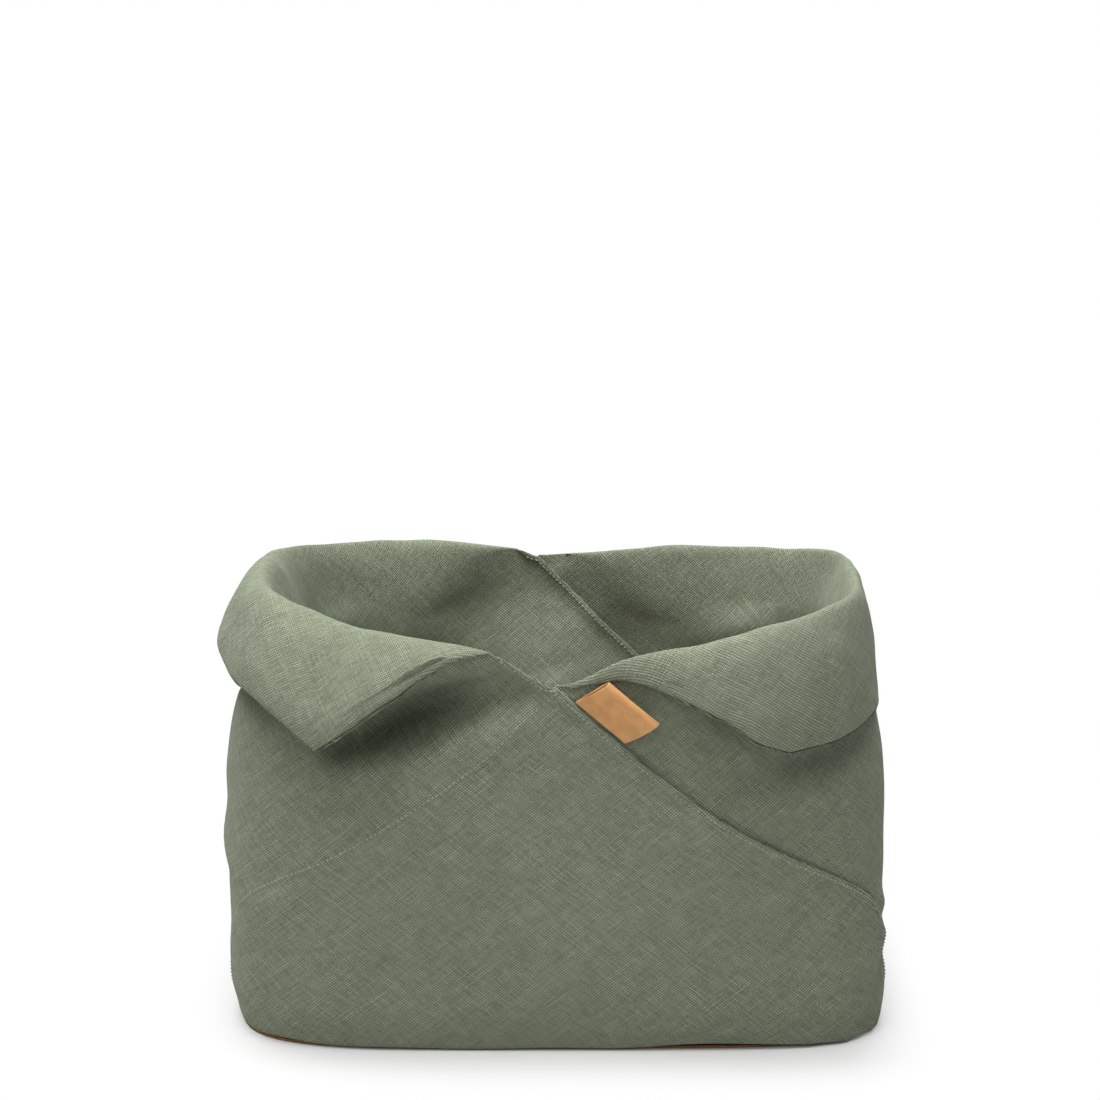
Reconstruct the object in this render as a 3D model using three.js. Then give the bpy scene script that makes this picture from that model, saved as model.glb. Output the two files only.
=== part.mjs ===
// Cloth bread bag: two crossed linen panels on a tan base board, with the two
// peaks of the panels folded down outside as ears, and a folded label in the front hem.
// Millimetres, +Z up. The origin is the middle of the base on the floor,
// +X is the bag's right as it is looked at and -Y is its front.
import * as THREE from 'three';

// Body of the bag
const HALF_WIDTH = 177.5;
const HALF_DEPTH = 107;
const BASE_SQUARENESS = 5.2; // power of the plan outline at the base, 2 is an ellipse
const RIM_SQUARENESS = 3.4; // the same at the rim
const RIM_HEIGHT = 239; // highest point of the rim, at both ends of the bag
const SHOULDER_HEIGHT = 130; // the walls draw in from here up
const SHOULDER_POWER = 1.6;
const BOTTOM_TUCK = 9; // how far the cloth draws in where it meets the board
const BOTTOM_CURVE = 24; // height of the rounded lower edge
const FLANGE_WIDTH = 12; // cloth turned in and sewn down on the board

// Materials and fits
const CLOTH_THICKNESS = 1;
const LAYER_GAP = 2; // room between the two panels where they cross
const SEAM_GAP = 0.5; // room between pieces that meet edge to edge
const CUT_GAP = 0.7; // room on each side of the cut between an ear and its collar
const REST_GAP = 0.4; // room between pieces that lie on each other
const BOARD_THICKNESS = 1.5;
const BOARD_LIP = 3.5; // the board stands out beyond the line where the cloth meets it
const THREAD_RADIUS = 0.3;
const STITCH_INSET = 2.4; // from a hem's edge to its stitching

// Places where the panels cross, as angles round the bag: -90 is the front, 0 the right
const FRONT_CROSSING = -90;
const BACK_CROSSING = 95;
const TURN_BAND = 12; // half the angle over which a panel passes from outside to inside

const RIM_FALL = 41; // the rim's lowest point, at the front crossing, lies this far below its highest
const RIM_DRAW_IN = 31; // the rim is drawn in most at the left end

// Rim: angle round the bag, share of the fall, share of the draw-in
const RIM_STATIONS = [
  [-180, 0, 1],
  [-150, 0.122, 0.71],
  [-127, 0.39, 0.29],
  [-108, 0.585, 0.161],
  [FRONT_CROSSING, 1, 0.129],
  [-71, 0.683, 0.129],
  [-52, 0.463, 0.161],
  [-39, 0.22, 0.29],
  [-25, 0.049, 0.419],
  [0, 0, 0.452],
  [39, 0.39, 0.258],
  [61, 0.463, 0.161],
  [84, 0.512, 0.129],
  [BACK_CROSSING, 0.561, 0.129],
  [101, 0.463, 0.129],
  [110, 0.39, 0.161],
  [135, 0.317, 0.387],
  [180, 0, 1],
];

// Hemmed edge of a panel: share of the crossing's height, degrees away from the crossing
const EDGE_STATIONS = [
  [0, 76],
  [0.2, 71],
  [0.36, 65],
  [0.43, 60],
  [0.53, 50],
  [0.67, 36],
  [0.82, 20],
  [0.92, 9],
  [1, 0],
];

const EAR_DROP = 68; // the longest ear hangs this far below its fold
const EAR_STANDOFF = 25; // the hem stands this far off the wall where it stands off most

// Ears: angle of the fold, angle of the hem, share of the drop, share of the standoff
const LEFT_EAR_STATIONS = [
  [252, 252, 0, 0],
  [245, 243, 0.088, 0.48],
  [234, 232, 0.338, 0.92],
  [224, 225, 0.647, 1],
  [217, 220.5, 0.971, 0.76],
  [210, 215, 0.853, 0.88],
  [201, 208, 0.75, 0.72],
  [191, 199.5, 0.691, 0.6],
  [179, 183, 0.588, 0.84],
  [146, 153.5, 0.412, 0.52],
  [122, 128, 0.235, 0.6],
  [101, 101, 0, 0],
];
const LEFT_EAR_TIP = 4; // station of the pointed corner
const LEFT_EAR_CUT = 4.5; // the part that lifts ends here
const RIGHT_EAR_STATIONS = [
  [-90, -90, 0, 0],
  [-76, -74.5, 0.088, 0.3],
  [-64, -63, 0.25, 0.6],
  [-50, -52, 0.522, 0.88],
  [-42, -46, 0.816, 0.92],
  [-35, -41.5, 0.971, 0.84],
  [-27, -34, 1, 0.56],
  [-17, -23.5, 0.926, 0.24],
  [0, 0, 0.75, 0.24],
  [30, 28, 0.471, 0.32],
  [58, 52, 0.206, 0.52],
  [88, 88, 0, 0],
];
const RIGHT_EAR_TIP = 5;
const RIGHT_EAR_CUT = 5.5;
const EAR_START = 0.8; // the fold is too small to build nearer its ends than this
const FOLD_LIFT = 9; // how far the cloth rises over the fold
const FOLD_OUT = 2; // and how far it starts outward
const EAR_BULGE = 10; // outward curve of the hanging cloth
const EAR_FULL_LENGTH = 60; // a fold shorter than this is drawn flatter in proportion
const EAR_FALL = 0.45; // share of its length over which the hem hangs straight
const LIFT_LINE = 0.3; // where the lifting part of an ear starts, as a share from fold to hem

// Label: a folded strip standing out from the front hem
const LABEL_TOP = 0.957; // upper end on the hem, as a share of the crossing's height
const LABEL_LENGTH = 36;
const LABEL_REACH = 22;
const LABEL_THICKNESS = 0.8;
const LABEL_LOOP = 5; // opening of the folded loop
const LABEL_CLEAR = 1.8; // from the hem's edge to the label's sewn end
const LABEL_TILT = 27; // degrees out from the wall
const LABEL_SKEW = 12; // degrees along the hem

// Colours
const LINEN = new THREE.MeshStandardMaterial({ color: 0x6e7a62, roughness: 0.92, metalness: 0 });
const LINEN_FOLD = new THREE.MeshStandardMaterial({ color: 0x77836b, roughness: 0.92, metalness: 0 });
const TAN_BOARD = new THREE.MeshStandardMaterial({ color: 0x7d5a3a, roughness: 0.8, metalness: 0 });
const TAN_LABEL = new THREE.MeshStandardMaterial({ color: 0xc08d5a, roughness: 0.75, metalness: 0 });
const THREAD = new THREE.MeshStandardMaterial({ color: 0x83907a, roughness: 0.85, metalness: 0 });

const PANEL_COLUMNS = 56;
const WALL_ROWS = 11;
const LAYER = (CLOTH_THICKNESS + LAYER_GAP) / 2;
const WALL_FOOT = BOARD_THICKNESS + REST_GAP + LAYER + CLOTH_THICKNESS / 2;
const UP = new THREE.Vector3(0, 0, 1);

function mix(a, b, share) {
  return a + (b - a) * share;
}

function clamp01(x) {
  return Math.min(1, Math.max(0, x));
}

// Smooth curve through stations that never swings past them: column is the value wanted
function through(stations, column, at = (station) => station[0]) {
  const xs = stations.map(at);
  const ys = stations.map((station) => station[column]);
  const slopes = xs.slice(1).map((x, i) => (ys[i + 1] - ys[i]) / (x - xs[i]));
  const tangents = xs.map((_, i) => {
    if (i === 0) return slopes[0];
    if (i === xs.length - 1) return slopes[i - 1];
    const before = slopes[i - 1];
    const after = slopes[i];
    return before * after <= 0 ? 0 : (2 * before * after) / (before + after);
  });
  return (x) => {
    let i = xs.findIndex((next) => next >= x) - 1;
    if (x > xs[xs.length - 1]) i = xs.length - 2;
    i = Math.max(0, i);
    const span = xs[i + 1] - xs[i];
    const t = clamp01((x - xs[i]) / span);
    const t2 = t * t;
    const t3 = t2 * t;
    return (2 * t3 - 3 * t2 + 1) * ys[i] + (t3 - 2 * t2 + t) * span * tangents[i]
      + (3 * t2 - 2 * t3) * ys[i + 1] + (t3 - t2) * span * tangents[i + 1];
  };
}

function wrapped(angle) {
  return THREE.MathUtils.euclideanModulo(angle + 180, 360) - 180;
}

const rimFall = through(RIM_STATIONS, 1);
const rimDrawIn = through(RIM_STATIONS, 2);
const edgeAngle = through(EDGE_STATIONS, 1);

function rimHeight(angle) {
  return RIM_HEIGHT - RIM_FALL * rimFall(wrapped(angle));
}

// Height and draw-in along the wall: 0 to 1 is the flange, 1 to 2 the rounded edge, 2 to 3 the wall
function profile(step, top) {
  if (step < 1) return { height: WALL_FOOT, inset: BOTTOM_TUCK + FLANGE_WIDTH * (1 - step) };
  if (step < 2) {
    const turn = ((step - 1) * Math.PI) / 2;
    return {
      height: WALL_FOOT + BOTTOM_CURVE * (1 - Math.cos(turn)),
      inset: BOTTOM_TUCK * (1 - Math.sin(turn)),
    };
  }
  return { height: mix(WALL_FOOT + BOTTOM_CURVE, top, step - 2), inset: 0 };
}

function planPoint(angle, height, inset) {
  const power = mix(BASE_SQUARENESS, RIM_SQUARENESS, clamp01(height / RIM_HEIGHT));
  const turn = THREE.MathUtils.degToRad(angle);
  const across = Math.abs(Math.cos(turn)) / (HALF_WIDTH - inset);
  const deep = Math.abs(Math.sin(turn)) / (HALF_DEPTH - inset);
  const radius = (across ** power + deep ** power) ** (-1 / power);
  return new THREE.Vector3(radius * Math.cos(turn), radius * Math.sin(turn), height);
}

function wallPoint(angle, step, top) {
  const { height, inset } = profile(step, top);
  const rise = clamp01((height - SHOULDER_HEIGHT) / (rimHeight(angle) - SHOULDER_HEIGHT));
  const drawIn = RIM_DRAW_IN * rimDrawIn(wrapped(angle));
  return planPoint(angle, height, inset + drawIn * rise ** SHOULDER_POWER);
}

function wallNormal(angle, step, top) {
  const nudge = 0.02;
  const along = wallPoint(angle + nudge, step, top).sub(wallPoint(angle - nudge, step, top));
  const low = Math.max(0, step - nudge);
  const high = Math.min(3, step + nudge);
  const rising = wallPoint(angle, high, top).sub(wallPoint(angle, low, top));
  return along.cross(rising).normalize();
}

function wallAt(angle, height, outward) {
  const top = rimHeight(angle);
  const foot = WALL_FOOT + BOTTOM_CURVE;
  const curve = Math.acos(clamp01(1 - (height - WALL_FOOT) / BOTTOM_CURVE)) / (Math.PI / 2);
  const step = height < foot ? 1 + curve : 2 + (height - foot) / (top - foot);
  return wallPoint(angle, step, top).addScaledVector(wallNormal(angle, step, top), outward);
}

// Closed sheet between two faces: face(i, j, side) gives the grid's points, side is 1 outside and -1 inside
function sheetGeometry(columns, rows, face) {
  const positions = [];
  const indices = [];
  const index = (i, j, side) => ((side > 0 ? 1 : 0) * (columns + 1) + i) * (rows + 1) + j;
  for (const side of [-1, 1]) {
    for (let i = 0; i <= columns; i += 1) {
      for (let j = 0; j <= rows; j += 1) positions.push(...face(i, j, side).toArray());
    }
  }
  const quad = (a, b, c, d) => indices.push(a, b, c, a, c, d);
  for (let i = 0; i < columns; i += 1) {
    for (let j = 0; j < rows; j += 1) {
      quad(index(i, j, 1), index(i + 1, j, 1), index(i + 1, j + 1, 1), index(i, j + 1, 1));
      quad(index(i, j, -1), index(i, j + 1, -1), index(i + 1, j + 1, -1), index(i + 1, j, -1));
    }
    quad(index(i, 0, -1), index(i + 1, 0, -1), index(i + 1, 0, 1), index(i, 0, 1));
    quad(index(i, rows, 1), index(i + 1, rows, 1), index(i + 1, rows, -1), index(i, rows, -1));
  }
  for (let j = 0; j < rows; j += 1) {
    quad(index(0, j, 1), index(0, j + 1, 1), index(0, j + 1, -1), index(0, j, -1));
    quad(index(columns, j, -1), index(columns, j + 1, -1), index(columns, j + 1, 1), index(columns, j, 1));
  }
  const geometry = new THREE.BufferGeometry();
  geometry.setAttribute('position', new THREE.Float32BufferAttribute(positions, 3));
  geometry.setIndex(indices);
  return geometry;
}

// A panel runs round the bag from one crossing to the other, and below them its edges run on
// past the crossings. From its middle on it lies outside the other panel, before it inside.
const LEFT_PANEL = { from: BACK_CROSSING, to: FRONT_CROSSING + 360, middle: 180 };
const RIGHT_PANEL = { from: FRONT_CROSSING, to: BACK_CROSSING, middle: 0 };

function panelLayer(panel, angle) {
  const turn = clamp01((wrapped(angle - panel.middle) + TURN_BAND) / (2 * TURN_BAND));
  return LAYER * (2 * turn * turn * (3 - 2 * turn) - 1);
}

function panelEdge(panel, end, height) {
  const crossing = panel[end];
  const reach = edgeAngle(clamp01((height - WALL_FOOT) / (rimHeight(crossing) - WALL_FOOT)));
  return end === 'to' ? crossing + reach : crossing - reach;
}

function panelGeometry(panel) {
  const steps = [0, 1, 1.35, 1.68];
  for (let i = 0; i <= WALL_ROWS; i += 1) steps.push(2 + i / WALL_ROWS);
  const columns = PANEL_COLUMNS;
  return sheetGeometry(columns, steps.length - 1, (i, j, side) => {
    const share = i / columns;
    const top = rimHeight(mix(panel.from, panel.to, share));
    const starts = panelEdge(panel, 'from', profile(steps[j], rimHeight(panel.from)).height);
    const ends = panelEdge(panel, 'to', profile(steps[j], rimHeight(panel.to)).height);
    const angle = mix(starts, ends, share);
    const outward = panelLayer(panel, angle) + (side * CLOTH_THICKNESS) / 2;
    return wallPoint(angle, steps[j], top).addScaledVector(wallNormal(angle, steps[j], top), outward);
  });
}

// An ear: the cloth rises from the rim, turns over the fold and hangs outside the wall.
// The curve returned takes a station along the fold and a share from fold to hem.
function earSurface(panel, stations, tip) {
  const order = (station) => stations.indexOf(station);
  const foldAngle = through(stations, 0, order);
  const parts = [stations.slice(0, tip + 1), stations.slice(tip)];
  const hemValues = parts.map((part) => [1, 2, 3].map((column) => through(part, column, order)));
  return (station, share) => {
    const angle = foldAngle(station);
    const [hemAngle, drop, off] = hemValues[station <= tip ? 0 : 1].map((value) => value(station));
    const top = rimHeight(angle);
    const fold = wallAt(angle, top, panelLayer(panel, angle)).addScaledVector(UP, SEAM_GAP);
    const outward = wallNormal(angle, 3, top).setZ(0).normalize();
    const outside = panelLayer(panel, hemAngle) + EAR_STANDOFF * off;
    const hem = wallAt(hemAngle, top - EAR_DROP * drop, outside);
    const length = fold.distanceTo(hem);
    const fullness = clamp01(length / EAR_FULL_LENGTH);
    const rise = fold.clone().addScaledVector(UP, FOLD_LIFT * fullness)
      .addScaledVector(outward, FOLD_OUT * fullness);
    const fall = hem.clone().addScaledVector(UP, EAR_FALL * length)
      .addScaledVector(outward, EAR_BULGE * fullness);
    return new THREE.CubicBezierCurve3(fold, rise, fall, hem).getPoint(share);
  };
}

function earNormal(surface, station, share) {
  const nudge = 0.01;
  const along = surface(station + nudge, share).sub(surface(station - nudge, share));
  const down = surface(station, Math.min(1, share + nudge)).sub(surface(station, Math.max(0, share - nudge)));
  return along.cross(down).normalize();
}

// Part of an ear over a list of stations, from the share that starts gives to the share that ends gives
function earGeometry(surface, facing, stations, rows, starts, ends) {
  const columns = stations.length - 1;
  const ordered = facing > 0 ? stations : stations.toReversed();
  return sheetGeometry(columns, rows, (i, j, side) => {
    const share = mix(starts(ordered[i]), ends(ordered[i]), j / rows);
    const normal = earNormal(surface, ordered[i], share).multiplyScalar(facing);
    return surface(ordered[i], share).addScaledVector(normal, (side * CLOTH_THICKNESS) / 2);
  });
}

function spread(first, last, count) {
  return Array.from({ length: count + 1 }, (_, i) => mix(first, last, i / count));
}

function threadGeometry(points) {
  const sides = 4;
  const outline = new THREE.Shape();
  for (let i = 0; i < sides; i += 1) {
    const turn = (2 * Math.PI * i) / sides;
    const point = [THREAD_RADIUS * Math.cos(turn), THREAD_RADIUS * Math.sin(turn)];
    if (i === 0) outline.moveTo(...point);
    else outline.lineTo(...point);
  }
  outline.closePath();
  const extrudePath = new THREE.CatmullRomCurve3(points);
  return new THREE.ExtrudeGeometry(outline, { steps: points.length, bevelEnabled: false, extrudePath });
}

// Stitching along a panel's edge, laid on the outside of the outermost panel there
function edgeThread(panel, end, outermost) {
  const count = 22;
  const points = [];
  for (let i = 0; i <= count; i += 1) {
    const crossing = rimHeight(panel[end]);
    const height = mix(crossing - 3 * STITCH_INSET, WALL_FOOT + BOTTOM_CURVE / 2, i / count);
    const edge = panelEdge(panel, end, height);
    const radius = Math.hypot(wallAt(edge, height, 0).x, wallAt(edge, height, 0).y);
    const back = THREE.MathUtils.radToDeg((Math.SQRT2 * STITCH_INSET) / radius);
    const angle = end === 'to' ? edge - back : edge + back;
    const clear = CLOTH_THICKNESS / 2 + REST_GAP + THREAD_RADIUS;
    points.push(wallAt(angle, height, panelLayer(outermost, angle) + clear));
  }
  return threadGeometry(points);
}

function earThread(surface, facing, first, last) {
  const count = 16;
  const points = [];
  for (let i = 0; i <= count; i += 1) {
    const station = mix(first, last, i / count);
    const length = surface(station, 0).distanceTo(surface(station, 1));
    const share = 1 - STITCH_INSET / length;
    const clear = CLOTH_THICKNESS / 2 + REST_GAP + THREAD_RADIUS;
    const normal = earNormal(surface, station, share).multiplyScalar(facing);
    points.push(surface(station, share).addScaledVector(normal, clear));
  }
  return threadGeometry(points);
}

function baseThread() {
  const count = 60;
  const points = [];
  for (let i = 1; i < count; i += 1) {
    const angle = mix(-180, 180, i / count);
    const height = WALL_FOOT + LAYER + CLOTH_THICKNESS / 2 + REST_GAP + THREAD_RADIUS;
    points.push(planPoint(angle, height, BOTTOM_TUCK + FLANGE_WIDTH / 2));
  }
  return threadGeometry(points);
}

function boardGeometry() {
  const count = 72;
  const outline = new THREE.Shape();
  for (let i = 0; i < count; i += 1) {
    const point = planPoint((360 * i) / count, 0, BOTTOM_TUCK - BOARD_LIP);
    if (i === 0) outline.moveTo(point.x, point.y);
    else outline.lineTo(point.x, point.y);
  }
  outline.closePath();
  return new THREE.ExtrudeGeometry(outline, { depth: BOARD_THICKNESS, bevelEnabled: false });
}

function labelGeometry() {
  const half = LABEL_THICKNESS / 2;
  const loop = new THREE.SplineCurve([
    new THREE.Vector2(0, half),
    new THREE.Vector2(0.55 * LABEL_REACH, half),
    new THREE.Vector2(LABEL_REACH - LABEL_LOOP / 2, half + 0.1 * LABEL_LOOP),
    new THREE.Vector2(LABEL_REACH - half, half + 0.5 * LABEL_LOOP),
    new THREE.Vector2(LABEL_REACH - LABEL_LOOP / 2, half + LABEL_LOOP),
    new THREE.Vector2(0.5 * LABEL_REACH, half + LABEL_LOOP),
    new THREE.Vector2(0, half + LABEL_THICKNESS + SEAM_GAP),
  ]);
  const count = 24;
  const outer = [];
  const inner = [];
  for (let i = 0; i <= count; i += 1) {
    const point = loop.getPoint(i / count);
    const along = loop.getTangent(i / count);
    const aside = new THREE.Vector2(along.y, -along.x).multiplyScalar(half);
    outer.push(point.clone().add(aside));
    inner.push(point.clone().sub(aside));
  }
  const outline = new THREE.Shape(outer.concat(inner.reverse()));
  return new THREE.ExtrudeGeometry(outline, { depth: LABEL_LENGTH, bevelEnabled: false });
}

// Places the label's profile: across the hem, out from the wall, then down along the hem
function labelPlacement() {
  const crossing = rimHeight(FRONT_CROSSING);
  const hemPoint = (height) => {
    const angle = panelEdge(LEFT_PANEL, 'to', height);
    return wallAt(angle, height, -LAYER + CLOTH_THICKNESS / 2 + REST_GAP);
  };
  const height = WALL_FOOT + (crossing - WALL_FOOT) * LABEL_TOP;
  const start = hemPoint(height);
  const along = hemPoint(height - LABEL_LENGTH / 2).sub(start).normalize();
  const hemAngle = panelEdge(LEFT_PANEL, 'to', height);
  const outward = wallAt(hemAngle, height, 1).sub(wallAt(hemAngle, height, 0));
  const across = new THREE.Vector3().crossVectors(outward, along).normalize();
  outward.crossVectors(along, across).normalize();
  const tilt = THREE.MathUtils.degToRad(LABEL_TILT);
  const skew = THREE.MathUtils.degToRad(LABEL_SKEW);
  const reach = across.clone().multiplyScalar(Math.cos(tilt)).addScaledVector(outward, Math.sin(tilt));
  const rise = outward.clone().multiplyScalar(Math.cos(tilt)).addScaledVector(across, -Math.sin(tilt));
  reach.multiplyScalar(Math.cos(skew)).addScaledVector(along, Math.sin(skew));
  start.addScaledVector(reach, LABEL_CLEAR);
  return new THREE.Matrix4().makeBasis(reach, rise, along).setPosition(start);
}

const bag = new THREE.Group();

function add(name, geometry, material) {
  const mesh = new THREE.Mesh(geometry, material);
  mesh.name = name;
  bag.add(mesh);
}

// The collar stays with the bag: the whole fold, and the hanging cloth beyond the cut.
// The ear is the hanging cloth before the cut, with the tip, and it lifts.
function addEar(name, panel, stations, tip, cut, facing) {
  const surface = earSurface(panel, stations, tip);
  const last = stations.length - 1 - EAR_START / 2;
  const length = (station) => surface(station, 0).distanceTo(surface(station, 1));
  const slit = CUT_GAP / surface(cut, 1).distanceTo(surface(cut + 1, 1));
  const collarStations = [...spread(EAR_START, cut, 14), ...spread(cut + slit, last, 20)];
  const collarEnds = (station) => (station > cut ? 1 : LIFT_LINE);
  add(`${name}_collar`, earGeometry(surface, facing, collarStations, 7, () => 0, collarEnds), LINEN_FOLD);
  const liftEnd = cut - slit;
  const liftStarts = (station) => LIFT_LINE + SEAM_GAP / length(station);
  const liftStations = spread(EAR_START, liftEnd, 16);
  add(`${name}_ear`, earGeometry(surface, facing, liftStations, 6, liftStarts, () => 1), LINEN_FOLD);
  add(`${name}_ear_thread`, earThread(surface, facing, EAR_START + 0.3, liftEnd - slit), THREAD);
  add(`${name}_collar_thread`, earThread(surface, facing, cut + 2 * slit, last - 0.3), THREAD);
}

add('base_board', boardGeometry(), TAN_BOARD);
add('left_panel', panelGeometry(LEFT_PANEL), LINEN);
add('right_panel', panelGeometry(RIGHT_PANEL), LINEN);
addEar('left', LEFT_PANEL, LEFT_EAR_STATIONS, LEFT_EAR_TIP, LEFT_EAR_CUT, 1);
addEar('right', RIGHT_PANEL, RIGHT_EAR_STATIONS, RIGHT_EAR_TIP, RIGHT_EAR_CUT, -1);
const label = labelGeometry();
label.applyMatrix4(labelPlacement());
add('label', label, TAN_LABEL);
add('front_hem_thread', edgeThread(LEFT_PANEL, 'to', LEFT_PANEL), THREAD);
add('front_seam_thread', edgeThread(RIGHT_PANEL, 'from', LEFT_PANEL), THREAD);
add('back_hem_thread', edgeThread(RIGHT_PANEL, 'to', RIGHT_PANEL), THREAD);
add('back_seam_thread', edgeThread(LEFT_PANEL, 'from', RIGHT_PANEL), THREAD);
add('base_thread', baseThread(), THREAD);

export default bag;
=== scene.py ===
import math

import bpy
import numpy as np
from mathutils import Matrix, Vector
from mathutils.bvhtree import BVHTree


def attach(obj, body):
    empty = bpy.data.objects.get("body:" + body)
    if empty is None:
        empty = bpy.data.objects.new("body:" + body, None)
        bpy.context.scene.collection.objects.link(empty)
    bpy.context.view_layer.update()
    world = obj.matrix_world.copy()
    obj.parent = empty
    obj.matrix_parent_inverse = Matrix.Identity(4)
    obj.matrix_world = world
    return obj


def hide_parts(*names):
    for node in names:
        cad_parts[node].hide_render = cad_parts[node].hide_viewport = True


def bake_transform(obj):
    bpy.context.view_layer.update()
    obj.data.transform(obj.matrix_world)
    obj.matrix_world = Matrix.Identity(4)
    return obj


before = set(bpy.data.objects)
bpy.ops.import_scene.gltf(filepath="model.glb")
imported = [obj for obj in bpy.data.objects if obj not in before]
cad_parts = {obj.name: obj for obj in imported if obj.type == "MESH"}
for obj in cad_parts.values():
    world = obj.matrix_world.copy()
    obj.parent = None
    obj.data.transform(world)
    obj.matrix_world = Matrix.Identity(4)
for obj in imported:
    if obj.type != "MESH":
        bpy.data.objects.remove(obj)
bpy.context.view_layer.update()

MM = 0.001

# Body of the bag, in millimetres. Angles go round it: -90 is the front, 0 the right, 90 the back.
HALF_WIDTH = 176.5
HALF_DEPTH = 107
BASE_SQUARENESS = 5.2
RIM_SQUARENESS = 3.4
RIM_HEIGHT = 239
SHOULDER_HEIGHT = 130
SHOULDER_POWER = 1.6
BOTTOM_TUCK = 9
BOTTOM_CURVE = 24
FLANGE_WIDTH = 12
BOARD_THICKNESS = 1.5
BOARD_LIP = 3.5
BOARD_EDGE = 0.45       # radius of the board's rounded edge
BOARD_FLAT_INSET = 14   # its flat faces start this far in
BOARD_COUNT = 160
REST_GAP = 0.1          # between pieces that rest on each other

# Cloth
CLOTH = 0.7
BIAS = 39               # slope of the threads
THREAD_PITCH = 1.16
LAYER = 0.45            # each panel lies this far from the middle of the two where they cross
HEM_WIDTH = 5.0
HEM_EXTRA = 0.5         # a turned hem is this much thicker
EAR_HEM_EXTRA = 0.25
HEM_FADE = 1.5          # and gets so over this width
LIP_REACH = 0.3         # the turned-under side of a hem shows this far past its face
EAR_LIP_REACH = 2.0
EAR_LIP_SPREAD = 1.4    # and stands this far apart from it
LIP_WIDTH = 7.0
LIP_THICKNESS = 0.55
LIP_DEPTH = -0.55       # from the middle of the hem to its lip
EAR_LIP_DEPTH = 1.1
EAR_LIP_START = 9       # an ear has a lip where it is longer than this
EAR_LIP_FADE = 14
LIP_FLOOR = 0.3         # no lip hangs lower than this
LIP_SKIP = 3            # a panel's lip starts this many points below the crossing
LIP_OUTER_ROWS, LIP_OUTER_END = 6, -0.2
LIP_INNER_ROWS = [0.8, 2.4, 4.2, 5.8, LIP_WIDTH]
LIP_WAVES = [(0.35, 0.37, 1), (0.25, 0.91, 0)]   # its uneven edge: how far, how fast along it, start
LIP_UNEVEN = 0.8
LIP_WEAVE = 0.7         # the weave runs on into a lip by this share of its width
# rows across a lip from its edge inwards: share of the thickness, share of the spread
LIP_TAPER = np.array([0.45, 0.85, 1, 1, 1, 1, 1, 1, 1, 0.8, 0.4])
LIP_CURL = np.array([-0.15, 0.1, 0.45, 0.75, 0.92, 1, 0.95, 0.7, 0.4, 0.15, 0])
WALL_FOOT = BOARD_THICKNESS + REST_GAP + LAYER + CLOTH / 2

# Stitching
STITCH_PITCH = 2.7
STITCH_LENGTH = 1.95
STITCH_RADIUS = 0.38
STITCH_INSET = 2.4
STITCH_SEED = 7
STITCH_VARIES = (0.86, 1.08)   # shares of the length, from and to
HEM_STITCH_LIFT = 0.22  # the middle of a stitch lies this far above the cloth
SEAM_STITCH_LIFT = 0.12
INNER_STITCH_LIFT = 0.15
EAR_STITCH_LIFT = 1.2
EAR_STITCH_CURL = 0.7   # share of the lip's spread under the stitches
EAR_STITCH_START = 14   # an ear is stitched where it is longer than this
BASE_ROW_COUNT = 241
STITCH_SEGMENTS, STITCH_RINGS = 6, 5
LAY_REACH = 0.02        # metres: a stitch is sought this far out of the cloth and as far in

# The panels cross at the front and at the back
FRONT_CROSSING = -90
BACK_CROSSING = 95
TURN_BAND = 12
LEFT = {"from": BACK_CROSSING, "to": FRONT_CROSSING + 360, "middle": 180, "ear": (101, 252)}
RIGHT = {"from": FRONT_CROSSING, "to": BACK_CROSSING, "middle": 0, "ear": (-90, 88)}

RIM_FALL = 41
RIM_DRAW_IN = 31
# angle round the bag, share of the fall, share of the draw-in
RIM_STATIONS = [
    (-180, 0, 1.14), (-150, 0.122, 0.78), (-127, 0.39, 0.29), (-108, 0.585, 0.161),
    (FRONT_CROSSING, 1, 0.129), (-71, 0.683, 0.129), (-52, 0.463, 0.161), (-39, 0.22, 0.29),
    (-25, 0.049, 0.56), (0, 0.03, 0.78), (39, 0.43, 0.258), (61, 0.53, 0.161),
    (84, 0.53, -0.08), (BACK_CROSSING, 0.561, -0.12), (101, 0.463, -0.08), (110, 0.41, 0.03),
    (135, 0.37, 0.42), (180, 0, 1.14),
]
# share of the crossing's height, degrees away from the crossing
EDGE_STATIONS = [
    (0, 76), (0.2, 71), (0.36, 65), (0.43, 60), (0.53, 50), (0.67, 36), (0.82, 20), (0.92, 9), (1, 0),
]

EAR_DROP = 68
EAR_STANDOFF = 25
# angle of the fold, angle of the hem, share of the drop, share of the standoff
LEFT_EAR_STATIONS = [
    (252, 252, 0, 0), (245, 243, 0.088, 0.5), (234, 232, 0.43, 1.08), (224, 225, 0.75, 1.22),
    (217, 220.5, 0.971, 1.02), (210, 215, 0.853, 1.0), (201, 208, 0.75, 0.74), (191, 199.5, 0.691, 0.6),
    (179, 183, 0.588, 0.84), (146, 153.5, 0.412, 0.52), (122, 128, 0.235, 0.6), (101, 101, 0, 0),
]
LEFT_EAR_TIP = 4
RIGHT_EAR_STATIONS = [
    (-90, -90, 0, 0), (-76, -74.5, 0.088, 0.12), (-64, -63, 0.25, 0.46), (-50, -52, 0.522, 0.88),
    (-42, -46, 0.816, 0.92), (-35, -41.5, 0.971, 0.84), (-27, -34, 1, 0.56), (-17, -23.5, 0.926, 0.16),
    (0, 0, 0.75, 0.06), (30, 28, 0.471, 0.22), (58, 52, 0.206, 0.52), (88, 88, 0, 0),
]
RIGHT_EAR_TIP = 5
EAR_START, EAR_END = 0.03, 10.97  # first and last column, in stations
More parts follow.
